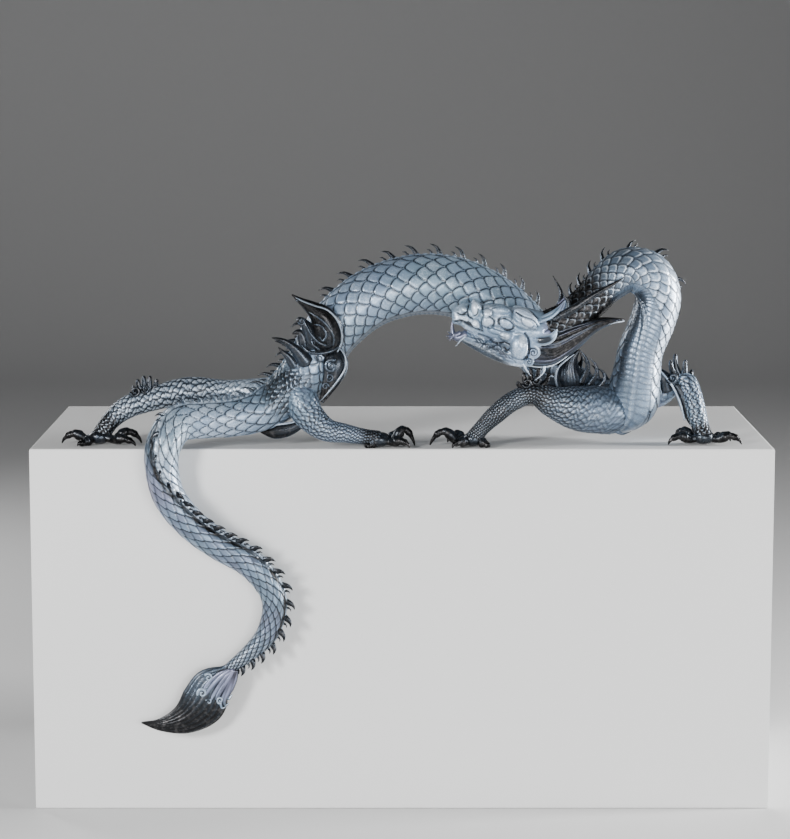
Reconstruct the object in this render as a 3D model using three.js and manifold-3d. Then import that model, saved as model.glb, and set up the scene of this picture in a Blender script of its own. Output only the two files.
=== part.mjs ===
// A cast dragon that crouches along the front edge of its plinth, with its tail hanging down over the edge.
// Millimetres, +Z up. The origin is the centre of the plinth's underside and -Y is the front.
import * as THREE from "three";
import { mergeVertices } from "three/addons/utils/BufferGeometryUtils.js";
import Module from "manifold-3d";

// Driving dimensions
const dragonLength = 620; // from the claw at the far left to the claw at the far right
const plinthWidth = 676;
const plinthDepth = 290;
const plinthHeight = 336;
const plinthEdge = 1.5; // radius of the plinth's rounded edges
const footClearance = 0.3; // the paws stand on the plinth, the tail hangs clear of it

// The figure is drawn on a grid of 680 squares to its own length. Its x runs right from the middle
// of the plinth, y runs back from the plinth's front face, z runs up from the plinth's top.
const gridSquares = 680;
const square = dragonLength / gridSquares;
const bodySides = 12;
const legSides = 8;
const thornSides = 4;
const scaleRelief = 0.05; // height of a scale's ridge, as a share of the body's radius
const ringSpacing = 0.76; // between the body's rings, as a share of its radius

const wasm = await Module();
wasm.setup();

function place([x, y, z]) {
  return new THREE.Vector3(
    x * square,
    y * square - plinthDepth / 2,
    z * square + plinthHeight + footClearance,
  );
}

// A path through keys of [x, y, z, radius, back x, back y, back z] on the grid. Back is the
// direction in which the spines, or the flat face of a flame, look.
class Path {
  constructor(keys) {
    this.last = keys.length - 1;
    this.line = new THREE.CatmullRomCurve3(keys.map(place), false, "catmullrom");
    this.girth = new THREE.CatmullRomCurve3(
      keys.map((key) => new THREE.Vector3(key[3] * square, 0, 0)),
      false,
      "catmullrom",
    );
    this.back = new THREE.CatmullRomCurve3(
      keys.map((key) => new THREE.Vector3(key[4], key[5], key[6])),
      false,
      "catmullrom",
    );
  }

  at(t) {
    const centre = this.line.getPoint(t);
    const along = this.line.getTangent(t);
    const back = this.back.getPoint(t);
    back.addScaledVector(along, -back.dot(along)).normalize();
    const side = new THREE.Vector3().crossVectors(back, along);
    return { centre, along, back, side, radius: Math.max(this.girth.getPoint(t).x, 0.2) };
  }

  // Places along the path that lie a share of the local radius apart.
  spaced(share) {
    const fine = 2000;
    const places = [0];
    let travelled = 0;
    let before = this.line.getPoint(0);
    for (let i = 1; i < fine; i++) {
      const here = this.line.getPoint(i / fine);
      travelled += here.distanceTo(before);
      before = here;
      if (travelled >= share * this.girth.getPoint(i / fine).x) {
        places.push(i / fine);
        travelled = 0;
      }
    }
    places.push(1);
    return places;
  }

  even(steps) {
    return Array.from({ length: steps + 1 }, (_, i) => i / steps);
  }
}

function solid(geometry) {
  geometry.deleteAttribute("normal");
  geometry.deleteAttribute("uv");
  const merged = mergeVertices(geometry, 1e-4);
  return new wasm.Manifold(
    new wasm.Mesh({
      numProp: 3,
      vertProperties: merged.attributes.position.array,
      triVerts: new Uint32Array(merged.index.array),
    }),
  );
}

// A tube along a path: a closed cylinder whose rings are set across the path. Its section is thick
// times as deep, along back, as it is wide, and carve(ring, side) adds to the radius.
function tube(path, sides, places, { thick = 1, tip = 0.5, carve = () => 0 } = {}) {
  const rings = places.length - 1;
  const geometry = new THREE.CylinderGeometry(1, 1, 1, sides, rings);
  const position = geometry.attributes.position;
  for (let v = 0; v < position.count; v++) {
    const x = position.getX(v);
    const z = position.getZ(v);
    const ring = Math.round((0.5 - position.getY(v)) * rings);
    const { centre, along, back, side, radius } = path.at(places[ring]);
    if (Math.hypot(x, z) < 0.5) {
      centre.addScaledVector(along, (ring === 0 ? -tip : tip) * radius * Math.min(thick, 1));
    } else {
      const turn = Math.round((Math.atan2(x, z) / (2 * Math.PI)) * sides + sides) % sides;
      const reach = radius * (1 + carve(ring, turn));
      centre.addScaledVector(side, x * reach).addScaledVector(back, z * reach * thick);
    }
    position.setXYZ(v, centre.x, centre.y, centre.z);
  }
  return solid(geometry);
}

function ball(centre, [rx, ry, rz], lean = 0) {
  const geometry = new THREE.SphereGeometry(1, 8, 4);
  geometry.scale(rx * square, ry * square, rz * square);
  geometry.rotateY(lean);
  const { x, y, z } = place(centre);
  geometry.translate(x, y, z);
  return solid(geometry);
}

// A pointed thorn through grid points, tapering from its root's girth.
function thorn(points, girth, { thick = 1, back = [0, -1, 0.01], steps = 3 } = {}) {
  const keys = points.map((p, i) => [...p, girth * (1 - (0.92 * i) / (points.length - 1)), ...back]);
  const path = new Path(keys);
  return tube(path, thornSides, path.even(steps), { thick });
}

// The body, from the root of the tail fin to the back of the head.
const bodyKeys = [
  [-172, -17, -219, 5.5, 0.65, -0.35, -0.65],
  [-152, -17, -203, 8, 0.65, -0.35, -0.65],
  [-135, -18, -184, 10.5, 0.8, -0.3, -0.45],
  [-127, -18, -158, 12, 1, -0.25, 0],
  [-132, -19, -135, 13, 0.85, -0.3, 0.4],
  [-152, -20, -111, 14, 0.55, -0.4, 0.75],
  [-180, -21, -94, 14.5, 0.45, -0.5, 0.75],
  [-207, -21, -74, 15, 0.6, -0.6, 0.5],
  [-229, -21, -47, 15.5, 0.6, -0.75, 0.2],
  [-237, -21, -18, 16, 0, -1, 0],
  [-235, -20, 7, 17, -0.35, -0.9, 0.3],
  [-222, -9, 26, 18, -0.5, -0.45, 0.75],
  [-197, 3, 29, 18.5, -0.1, -0.1, 1],
  [-167, 12, 30, 19, -0.1, 0, 1],
  [-140, 20, 36, 20.5, -0.3, 0, 0.95],
  [-114, 28, 53, 23, -0.6, 0, 0.8],
  [-92, 34, 78, 24.5, -0.75, 0, 0.65],
  [-69, 40, 114, 26.5, -0.75, 0, 0.65],
  [-34, 45, 144, 28, -0.5, 0.05, 0.85],
  [8, 50, 158, 29, -0.1, 0.05, 1],
  [48, 55, 157, 29, 0.1, 0.05, 1],
  [86, 60, 142, 28, 0.45, 0.05, 0.9],
  [118, 64, 116, 27, 0.7, 0, 0.7],
  [143, 66, 85, 26, 0.75, -0.25, 0.6],
  [168, 66, 52, 26, 0.6, -0.4, 0.7],
  [200, 60, 35, 27, 0.25, -0.05, 1],
  [230, 47, 41, 27, 0.25, 0.7, 0.6],
  [235, 37, 67, 24, 0.2, 0.98, 0.2],
  [239, 32, 95, 22, 0.2, 0.98, 0],
  [250, 30, 124, 22, 0.45, 0.88, -0.1],
  [255, 30, 148, 22.5, 0.85, 0.5, 0.1],
  [246, 30, 169, 23, 0.7, 0.3, 0.7],
  [224, 28, 175, 21.5, -0.1, 0.2, 1],
  [203, 23, 162, 19, -0.6, 0.1, 0.8],
  [186, 17, 145, 17.5, -0.65, 0.05, 0.75],
  [166, 11, 129, 17, -0.55, 0, 0.8],
  [144, 8, 119, 17, -0.3, 0, 1],
];
const bodyPath = new Path(bodyKeys);
const spineGap = 21; // grid squares between two spines
const spineHeight = 9;

function body() {
  const bellySide = bodySides / 2;
  const carve = (ring, turn) => {
    const onBelly = Math.abs(turn - bellySide) <= 1;
    const raised = onBelly ? ring % 2 : (ring + turn) % 2;
    return raised ? scaleRelief : -scaleRelief;
  };
  return tube(bodyPath, bodySides, bodyPath.spaced(ringSpacing), { carve });
}

// The hooked spines along the back, leaning towards the tail.
function spines() {
  const fine = 3000;
  const made = [];
  let travelled = 0;
  let before = bodyPath.line.getPoint(0);
  for (let i = 1; i < fine * 0.985; i++) {
    const { centre, along, back, radius } = bodyPath.at(i / fine);
    travelled += centre.distanceTo(before);
    before = centre;
    if (travelled < spineGap * square) continue;
    travelled = 0;
    const share = Math.min(1, (radius / square + 8) / 30);
    const height = spineHeight * square * share;
    const geometry = new THREE.ConeGeometry(height * 0.6, height * 1.35, 4);
    geometry.scale(1, 1, 0.4);
    const lean = new THREE.Matrix4().makeShear(0, 0, -0.55, 0, 0, 0);
    const turn = new THREE.Matrix4().makeBasis(
      along,
      back,
      new THREE.Vector3().crossVectors(along, back),
    );
    turn.setPosition(centre.clone().addScaledVector(back, radius * 0.98 + height * 0.35));
    geometry.applyMatrix4(turn.multiply(lean));
    made.push(solid(geometry));
  }
  return made;
}

// Legs, from inside the body to the palm: [x, y, z, radius].
const legKeys = {
  nearHind: [
    [-108, 24, 58, 15],
    [-101, 18, 47, 17],
    [-93, 12, 32, 15],
    [-76, 10, 18, 11.5],
    [-56, 10, 14, 9],
    [-38, 11, 10.5, 7.5],
    [-24, 12, 8, 8],
  ],
  farHind: [
    [-112, 36, 54, 15],
    [-140, 45, 51, 14],
    [-177, 52, 51, 11],
    [-214, 52, 51.5, 13.5],
    [-247, 48, 45, 12],
    [-275, 43, 36.5, 11],
    [-292, 38, 24, 9],
    [-303, 33, 9.5, 8.5],
  ],
  nearFront: [
    [215, 45, 36, 22],
    [203, 38, 34, 24],
    [175, 28, 37, 22],
    [151, 20, 44, 15.5],
    [131, 15, 53, 10],
    [110, 14, 45.5, 9.5],
    [93, 14, 32, 9],
    [80, 15, 19, 7.5],
    [72, 15, 9, 8],
  ],
  farFront: [
    [238, 55, 46, 16],
    [258, 58, 48, 14],
    [274, 55, 58, 11],
    [286, 48, 61, 10],
    [292, 42, 49, 9.5],
    [296, 37, 32, 9.5],
    [300, 33, 17.5, 8.5],
    [303, 30, 8.5, 9],
  ],
};

function leg(keys) {
  const path = new Path(keys.map((key) => [...key, 0, -1, 0.3]));
  const carve = (ring, turn) => ((ring + turn) % 2 ? scaleRelief : -scaleRelief);
  return tube(path, legSides, path.spaced(1), { carve });
}

// Paws: the palm's middle, then each toe's bearing in degrees, anticlockwise from +X as seen from
// above, its reach and the height of its knuckle.
const paws = [
  { palm: [-22, 13], toes: [[8, 35, 21], [-22, 32, 12], [40, 30, 15], [-150, 17, 8]] },
  { palm: [-304, 32], toes: [[178, 38, 15], [2, 42, 17], [-26, 42, 12], [222, 27, 9]] },
  { palm: [72, 17], toes: [[178, 44, 19], [218, 28, 11], [140, 34, 15], [-40, 20, 9]] },
  { palm: [303, 30], toes: [[192, 37, 14], [152, 32, 17], [-8, 38, 14], [30, 34, 11]] },
];
const palmHeight = 7.5;
const toeGirth = 4.4;

function paw({ palm: [x, y], toes }) {
  const made = [ball([x, y, palmHeight], [11, 10, palmHeight])];
  for (const [bearing, reach, knuckle] of toes) {
    const turn = THREE.MathUtils.degToRad(bearing);
    const key = (share, z, girth) => [
      x + Math.cos(turn) * reach * share,
      y + Math.sin(turn) * reach * share,
      z,
      girth * toeGirth,
      -Math.sin(turn) * 0.1,
      Math.cos(turn) * 0.1,
      1,
    ];
    const path = new Path([
      key(0.1, palmHeight, 1.1),
      key(0.38, toeGirth + 0.6, 0.9),
      key(0.62, knuckle - toeGirth, 0.95),
      key(0.8, knuckle - toeGirth - 1, 0.75),
      key(0.94, knuckle * 0.35, 0.45),
      key(1, 1, 0.16),
    ]);
    made.push(tube(path, 5, path.even(4)));
  }
  return made;
}

// The tail fin, a leaf that stands in the plane of the front face.
const finKeys = [
  [-170, -17, -217, 5],
  [-176, -17, -224, 9],
  [-191, -17, -237, 19],
  [-200, -17, -256, 23],
  [-218, -17, -271, 16],
  [-241, -17, -277, 7],
  [-261, -17, -275, 0.8],
];

function tailFin() {
  const path = new Path(finKeys.map((key) => [...key, 0, -1, 0]));
  return tube(path, 10, path.even(8), { thick: 0.28 });
}

// Flames are flat pointed leaves on the hips, shoulders and belly: [x, y, z, half width] from root
// to tip. They look forwards.
const flames = [
  // the big ear of the near hip, and its two lower spikes
  [[-78, 14, 88, 12], [-81, 9, 111, 20], [-84, 8, 127, 16], [-92, 8, 139, 7.5], [-101, 7, 146, 3.2], [-109, 6, 153, 0.7]],
  [[-94, 12, 84, 9], [-104, 10, 96, 6], [-113, 9, 104, 3.5], [-121, 8, 108, 2.2], [-129, 8, 110, 0.6]],
  [[-98, 14, 92, 6], [-100, 11, 108, 5.5], [-103, 10, 118, 3.5], [-108, 9, 116, 0.7]],
  // the curled fringe down the back of the near thigh
  [[-66, 14, 96, 8], [-66, 9, 83, 12], [-70, 8, 69, 8.5], [-76, 8, 57, 5], [-82, 9, 46, 1.5]],
  // the same ear on the far hip
  [[-78, 66, 88, 12], [-81, 71, 111, 20], [-84, 72, 127, 16], [-92, 72, 139, 7.5], [-101, 73, 146, 3.2], [-109, 74, 153, 0.7]],
  [[-94, 58, 84, 9], [-104, 62, 96, 6], [-113, 64, 104, 3.5], [-129, 66, 108, 0.6]],
  // the dark leaf under the belly
  [[-98, 18, 24, 4], [-113, 18, 17, 7], [-127, 18, 14.5, 7.5], [-138, 18, 15, 3.5], [-144, 18, 16, 0.6]],
  // the near shoulder, behind the head
  [[168, 40, 52, 11], [167, 37, 66, 14], [170, 36, 79, 10], [175, 36, 90, 5], [181, 36, 99, 0.7]],
  // the far shoulder, right of the chest
  [[268, 46, 52, 10], [264, 44, 64, 8], [259, 43, 72, 4], [255, 43, 77, 0.6]],
  // the web down the inner side of the far front leg
  [[276, 42, 58, 6], [283, 40, 48, 7], [287, 38, 34, 6], [292, 36, 20, 3]],
];

function flame(keys) {
  const path = new Path(keys.map((key) => [...key, 0, -1, 0.01]));
  return tube(path, 6, path.even(5), { thick: 0.3 });
}

// Tufts of thorns on the knees and elbows: root, girth, then the tips.
const tufts = [
  { root: [-254, 46, 48], girth: 4.2, tips: [[-268, 42, 60], [-259, 47, 68], [-247, 44, 65]] },
  { root: [131, 16, 58], girth: 4.2, tips: [[115, 12, 68], [124, 18, 77], [138, 14, 81], [148, 22, 72]] },
  { root: [284, 49, 62], girth: 4, tips: [[269, 44, 82], [275, 52, 89], [285, 45, 85], [292, 52, 78]] },
  { root: [-84, 10, 30], girth: 4, tips: [[-66, 4, 38], [-72, 4, 46]] },
];

function tuft({ root, girth, tips }) {
  return tips.map((tip) => {
    const middle = root.map((value, i) => (value + tip[i]) / 2);
    middle[0] += (tip[0] - root[0]) * 0.2;
    return thorn([root, middle, tip], girth, { thick: 0.7, steps: 2 });
  });
}

// The head lies in a plane parallel to the plinth's face. What has a pair is mirrored in that plane.
const headPlane = 8;
const mirrored = (point) => [point[0], 2 * headPlane - point[1], point[2]];

function headTube(keys, sides, steps, thick) {
  const path = new Path(keys.map(([x, z, r]) => [x, headPlane, z, r, 0, -1, 0.01]));
  return tube(path, sides, path.even(steps), { thick });
}

function head() {
  const skull = [
    [152, 111, 20],
    [134, 113, 24],
    [114, 116, 25],
    [94, 123, 19],
    [76, 129, 15.5],
    [62, 132, 12.5],
    [53, 131, 8],
  ];
  const jaw = [
    [142, 99, 15],
    [116, 95, 14],
    [96, 97, 10.5],
    [78, 104, 8.5],
    [64, 110, 6.5],
    [56, 112, 4],
  ];
  const mane = [
    [132, 104, 22],
    [154, 107, 21],
    [175, 114, 15],
    [196, 121, 7.5],
    [219, 125, 0.9],
  ];
  const made = [
    headTube(skull, 12, 8, 0.8),
    headTube(jaw, 8, 5, 0.95),
    headTube(mane, 8, 6, 0.6),
  ];
  const pairs = [
    { centre: [71, 0, 135], radii: [6, 7, 12] }, // nose
    { centre: [85, -3, 129], radii: [7, 6, 10] }, // snout pad
    { centre: [103, -8, 125], radii: [8.5, 4.5, 6], lean: 0.4 }, // eye
    { centre: [116, -7, 102], radii: [10, 8, 14] }, // cheek
    { centre: [130, -4, 91], radii: [7, 6, 8] }, // beard curls
  ];
  for (const { centre, radii, lean } of pairs) {
    made.push(ball(centre, radii, lean), ball(mirrored(centre), radii, lean));
  }
  const thorns = [
    { points: [[104, -4, 139], [121, -8, 133], [136, -11, 121]], girth: 7 }, // brow
    { points: [[128, -8, 110], [140, -14, 110], [154, -19, 111]], girth: 7 }, // ear
  ];
  for (const { points, girth } of thorns) {
    made.push(thorn(points, girth, { thick: 0.6 }), thorn(points.map(mirrored), girth, { thick: 0.6 }));
  }
  // horns: the near one lies along the neck, the far one stands up in front of it
  made.push(
    thorn([[138, -2, 122], [152, -5, 133], [172, -7, 147], [195, -5, 159], [218, 0, 170]], 8, { steps: 6 }),
    thorn([[140, 16, 124], [152, 20, 140], [156, 24, 154], [150, 26, 170]], 6.5, { steps: 4 }),
    thorn([[152, -4, 130], [159, -6, 140], [161, -6, 150]], 4.5, { steps: 3 }),
  );
  // tongue, fangs, chin whiskers and the two long barbels
  made.push(
    thorn([[72, 8, 115], [56, 8, 110], [49, 8, 116], [49, 8, 126]], 4.5, { steps: 4 }),
    thorn([[58, 4, 112], [50, 2, 110], [43, 0, 110]], 2.4),
    thorn([[58, 10, 111], [52, 10, 107], [46, 10, 104]], 2.4),
    thorn([[62, 2, 110], [57, 0, 105], [53, -2, 101]], 2),
    thorn([[124, -2, 86], [125, -3, 79], [127, -4, 73]], 2.2),
    thorn([[134, 5, 92], [140, 1, 78], [131, -2, 66]], 3, { steps: 3 }),
  );
  // locks of the mane, along both sides
  const locks = [
    [[140, 119], [174, 126], [206, 129]],
    [[132, 90], [158, 95], [184, 110]],
  ];
  for (const lock of locks) {
    for (const [side, start] of [[-1, 11], [1, 11]]) {
      const points = lock.map(([x, z], i) => [x, headPlane + side * start * (1 - i * 0.38), z]);
      made.push(thorn(points, 5, { thick: 0.7 }));
    }
  }
  return made;
}

// Everything is joined into one casting. The outer skin is the shell with the largest volume; the
// small bubbles closed in between joined parts are filled by leaving their shells out.
function dragon() {
  const joined = wasm.Manifold.union([
    body(),
    ...spines(),
    ...Object.values(legKeys).map(leg),
    ...paws.flatMap(paw),
    tailFin(),
    ...flames.map(flame),
    ...tufts.flatMap(tuft),
    ...head(),
  ]);
  const shells = joined.decompose();
  return shells.sort((a, b) => b.volume() - a.volume())[0];
}

function geometryOf(made) {
  const mesh = made.getMesh();
  const geometry = new THREE.BufferGeometry();
  geometry.setAttribute("position", new THREE.BufferAttribute(mesh.vertProperties, 3));
  geometry.setIndex(new THREE.BufferAttribute(mesh.triVerts, 1));
  geometry.computeVertexNormals();
  return geometry;
}

// The plinth is a plain block whose edges are eased all round.
function plinthGeometry() {
  const x = plinthWidth / 2 - plinthEdge;
  const y = plinthDepth / 2 - plinthEdge;
  const outline = new THREE.Shape();
  outline.moveTo(-x, -y).lineTo(x, -y).lineTo(x, y).lineTo(-x, y).closePath();
  const geometry = new THREE.ExtrudeGeometry(outline, {
    depth: plinthHeight - 2 * plinthEdge,
    bevelThickness: plinthEdge,
    bevelSize: plinthEdge,
    bevelSegments: 2,
  });
  return geometry.translate(0, 0, plinthEdge);
}

const castMaterial = new THREE.MeshStandardMaterial({ color: 0x9db0c0, roughness: 0.42, metalness: 0.35 });
const plinthMaterial = new THREE.MeshStandardMaterial({ color: 0xdcdddc, roughness: 0.6, metalness: 0 });

const dragonMesh = new THREE.Mesh(geometryOf(dragon()), castMaterial);
dragonMesh.name = "dragon";
const plinthMesh = new THREE.Mesh(plinthGeometry(), plinthMaterial);
plinthMesh.name = "plinth";

const sculpture = new THREE.Group();
sculpture.add(plinthMesh, dragonMesh);

export default sculpture;
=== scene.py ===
# %% [markdown]
# # A cast dragon on the edge of its plinth
# The sculpture is one hollow casting, painted pale blue-grey over dark bronze, that crouches along
# the front edge of a plain block. This lesson starts from the measured solids and models every
# visible surface again in fine detail, inside the same outline.

# %% Load the measured model
import math
import bmesh
import bpy
import numpy as np
from mathutils import Matrix, Vector


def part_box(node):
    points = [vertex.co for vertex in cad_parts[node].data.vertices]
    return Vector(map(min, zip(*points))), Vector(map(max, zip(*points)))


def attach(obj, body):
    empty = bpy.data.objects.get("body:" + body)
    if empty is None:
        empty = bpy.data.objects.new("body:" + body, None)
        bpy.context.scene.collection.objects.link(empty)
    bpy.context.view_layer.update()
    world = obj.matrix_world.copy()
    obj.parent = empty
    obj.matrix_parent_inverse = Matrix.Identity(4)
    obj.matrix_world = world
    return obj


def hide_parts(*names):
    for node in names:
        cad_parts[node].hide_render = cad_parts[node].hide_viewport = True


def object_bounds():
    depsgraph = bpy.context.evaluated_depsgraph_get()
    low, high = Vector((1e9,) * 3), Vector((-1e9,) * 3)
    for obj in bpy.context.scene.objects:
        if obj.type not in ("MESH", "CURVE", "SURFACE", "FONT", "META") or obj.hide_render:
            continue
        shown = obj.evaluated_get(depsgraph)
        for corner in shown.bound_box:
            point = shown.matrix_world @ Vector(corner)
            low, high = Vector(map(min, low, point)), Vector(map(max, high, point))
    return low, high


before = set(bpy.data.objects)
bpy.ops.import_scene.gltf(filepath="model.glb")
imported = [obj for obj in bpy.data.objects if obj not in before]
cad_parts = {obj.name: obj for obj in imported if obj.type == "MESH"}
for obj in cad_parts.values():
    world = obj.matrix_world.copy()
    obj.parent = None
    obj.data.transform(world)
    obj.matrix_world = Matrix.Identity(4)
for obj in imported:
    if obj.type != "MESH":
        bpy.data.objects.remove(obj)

solid_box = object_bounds()
print("nodes", sorted(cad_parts))

# %% [markdown]
# ## The drawing grid
# A figure like this is easiest to draw on squared paper. The grid has 680 squares to the dragon's
# length. Its x runs right from the middle of the plinth, y runs back from the plinth's front face
# and z runs up from the plinth's top. Every piece is modelled in squares, and only the last step
# turns squares into metres, so the numbers below can be read straight off the drawing.

# %% Grid values
DRAGON_LENGTH = 0.620
SQUARES = 680
SQUARE = DRAGON_LENGTH / SQUARES
FOOT_CLEARANCE = 0.0003
plinth_low, plinth_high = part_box("plinth")
GRID_ORIGIN = np.array([
    (plinth_low[0] + plinth_high[0]) / 2,
    plinth_low[1],
    plinth_high[2] + FOOT_CLEARANCE,
])
print("one square is", round(SQUARE * 1000, 3), "mm, origin", GRID_ORIGIN.round(4))


def to_metres(points):
    return np.asarray(points, float) * SQUARE + GRID_ORIGIN


# %% [markdown]
# ## Paths
# Body, legs, toes, horns and locks of hair are all long tapering forms. Each one follows a smooth
# curve through a few keys, and a key holds the place, the radius and the direction of the back,
# where the spines stand. Blender's own curve objects could carry such a tube, but numpy gives all
# points of the curve at once, so that relief can be added to them later. A Catmull-Rom curve passes
# through its keys, which makes them easy to choose.

# %% A path through keys
FINE_STEPS = 6000  # short steps that measure the length of a path
THINNEST = 0.15  # least radius of a path, in squares


def unit(vectors):
    return vectors / np.maximum(np.linalg.norm(vectors, axis=-1, keepdims=True), 1e-9)


class Path:
    """A smooth curve through keys of [x, y, z, radius] and, if wanted, [back x, back y, back z]."""

    def __init__(self, keys, back=(0, -1, 0.01)):
        rows = [list(key) + list(back) * (len(key) == 4) for key in keys]
        keys = np.array(rows, float)
        self.keys = np.vstack([2 * keys[0] - keys[1], keys, 2 * keys[-1] - keys[-2]])
        self.spans = len(keys) - 1

    def at(self, share):
        place = np.clip(np.asarray(share, float), 0, 1) * self.spans
        span = np.minimum(place.astype(int), self.spans - 1)
        w = (place - span)[:, None]
        a, b, c, d = (self.keys[span + step] for step in range(4))
        bend = 2 * a - 5 * b + 4 * c - d
        twist = 3 * b - a - 3 * c + d
        value = (2 * b + (c - a) * w + bend * w ** 2 + twist * w ** 3) / 2
        slope = ((c - a) + 2 * bend * w + 3 * twist * w ** 2) / 2
        along = unit(slope[:, :3])
        back = value[:, 4:]
        back = unit(back - along * (back * along).sum(1, keepdims=True))
        return {
            "centre": value[:, :3],
            "radius": np.maximum(value[:, 3], THINNEST),
            "along": along,
            "back": back,
            "side": np.cross(back, along),
        }

    def stations(self, step_of):
        """Shares of the path that are step_of(radius, share) squares apart."""
        fine = np.linspace(0, 1, FINE_STEPS)
        here = self.at(fine)
        travel = np.linalg.norm(np.diff(here["centre"], axis=0), axis=1)
        radius = (here["radius"][1:] + here["radius"][:-1]) / 2
        count = np.concatenate([[0], np.cumsum(travel / step_of(radius, fine[1:]))])
        return np.interp(np.arange(int(count[-1]) + 1), count, fine)


trial = Path([[0, 0, 0, 2], [10, 0, 6, 1], [20, 0, 0, 2]])
print("a path through three keys has its middle at", trial.at([0.5])["centre"][0].tolist())


# %% [markdown]
# ## A bench to sculpt on
# One bmesh can gather many forms. Besides its place, each vertex carries three numbers that the
# finish reads later: dark says how much bare bronze shows and also paints shade, groove says how deep
# in a carved line the point is and also paints shade in creases and under overlapping edges, and
# tint is a small difference of colour from one scale to the next, which also paints highlights where
# it is low.

# %% The bench
PAINTS = ("dark", "groove", "tint")
PLAIN_TINT = 0.5
SAME_POINT = 1e-4  # points of one tube that are closer than this are joined, in squares


class Bench:
    def __init__(self):
        self.bm = bmesh.new()
        self.layers = {name: self.bm.verts.layers.float.new(name) for name in PAINTS}

    def paint(self, vertices, **paints):
        for name, values in paints.items():
            layer = self.layers[name]
            values = np.broadcast_to(values, len(vertices)).tolist()
            for vertex, value in zip(vertices, values):
                vertex[layer] = value

    def lump(self, centre, radii, lean=0, **paints):
        """An egg; lean turns it in the plane of the drawing, in degrees, anticlockwise."""
        turn = Matrix.Rotation(math.radians(-lean), 4, "Y")
        shape = Matrix.Translation(centre) @ turn @ Matrix.Diagonal((*radii, 1))
        made = bmesh.ops.create_icosphere(self.bm, subdivisions=3, radius=1, matrix=shape)
        self.paint(made["verts"], **{"tint": PLAIN_TINT, **paints})

    def tube(self, path, stations, sides, relief=None, paint=None, thick=1.0, cup=0.0, tip=0.6, caps=3):
        """A closed tube. relief and paint are functions of the station number and the angle.

        thick flattens the tube from face to back, cup hollows its face, and caps is how many rings
        round off each end, which stands out by tip times the radius.
        """
        turns = np.linspace(0, math.pi / 2, caps + 1)
        count = len(stations)
        number = np.concatenate([np.zeros(caps), np.arange(count), np.full(caps, count - 1)])
        shrink = np.concatenate([np.sin(turns[:-1]), np.ones(count), np.cos(turns[1:])])
        push = np.concatenate([-np.cos(turns[:-1]), np.zeros(count), np.sin(turns[1:])]) * tip
        rings = len(number)
        made = bmesh.ops.create_grid(self.bm, x_segments=sides, y_segments=rings - 1, size=1)["verts"]
        flat = np.array([vertex.co[:2] for vertex in made])
        ring = np.rint((flat[:, 1] + 1) / 2 * (rings - 1)).astype(int)
        angle = (flat[:, 0] + 1) * math.pi
        here = path.at(np.asarray(stations)[number.astype(int)])
        at = {key: value[ring] for key, value in here.items()}
        station = number[ring]
        reach = at["radius"] * shrink[ring]
        if relief is not None:
            reach = reach * (1 + relief(station, angle))
        reach = reach[:, None]
        across = np.sin(angle)[:, None]
        up = np.cos(angle)[:, None]
        places = at["centre"] + at["side"] * across * reach + at["back"] * up * reach * thick
        places -= at["back"] * cup * across ** 2 * reach
        places += at["along"] * (push[ring] * at["radius"])[:, None] * min(thick, 1)
        for vertex, point in zip(made, places.tolist()):
            vertex.co = point
        values = {"tint": PLAIN_TINT, **(paint(station, angle) if callable(paint) else paint or {})}
        self.paint(made, **values)
        bmesh.ops.remove_doubles(self.bm, verts=made, dist=SAME_POINT)

    def piece(self, name, material):
        """Turns the bench's forms into one finished piece of the sculpture."""
        bmesh.ops.recalc_face_normals(self.bm, faces=self.bm.faces)
        mesh = bpy.data.meshes.new(name)
        self.bm.to_mesh(mesh)
        self.bm.free()
        places = np.empty(len(mesh.vertices) * 3)
        mesh.vertices.foreach_get("co", places)
        mesh.vertices.foreach_set("co", to_metres(places.reshape(-1, 3)).ravel())
        mesh.shade_smooth()
        mesh.update()
        piece = bpy.data.objects.new(name, mesh)
        bpy.context.scene.collection.objects.link(piece)
        piece.data.materials.append(material)
        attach(piece, "root")
        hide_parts("dragon")
        triangles = sum(len(face.vertices) - 2 for face in mesh.polygons)
        print(name, triangles, "triangles")


print("each vertex will carry", ", ".join(PAINTS))


# %% [markdown]
# ## Shader sums
# The finish is computed from noise and from the painted numbers, which takes dozens of Math nodes.
# Written one by one they would hide the idea, so a small class wraps a socket: adding or multiplying
# two wrapped sockets adds the Math node for it, and node() adds any other node.

# %% A wrapped socket
class Value:
    def __init__(self, tree, socket):
        self.tree = tree
        self.socket = socket

    def maths(self, operation, other, swap=False, clamp=False):
        node = self.tree.nodes.new("ShaderNodeMath")
        node.operation = operation
        node.use_clamp = clamp
        for entry, value in zip(node.inputs, (other, self) if swap else (self, other)):
            if isinstance(value, Value):
                self.tree.links.new(value.socket, entry)
            else:
                entry.default_value = value
        return Value(self.tree, node.outputs[0])

    def __add__(self, other):
        return self.maths("ADD", other)

    def __radd__(self, other):
        return self.maths("ADD", other, swap=True)

    def __sub__(self, other):
        return self.maths("SUBTRACT", other)

    def __rsub__(self, other):
        return self.maths("SUBTRACT", other, swap=True)

    def __mul__(self, other):
        return self.maths("MULTIPLY", other)

    def __rmul__(self, other):
        return self.maths("MULTIPLY", other, swap=True)

    def clamped(self):
        return self.maths("ADD", 0.0, clamp=True)


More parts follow.
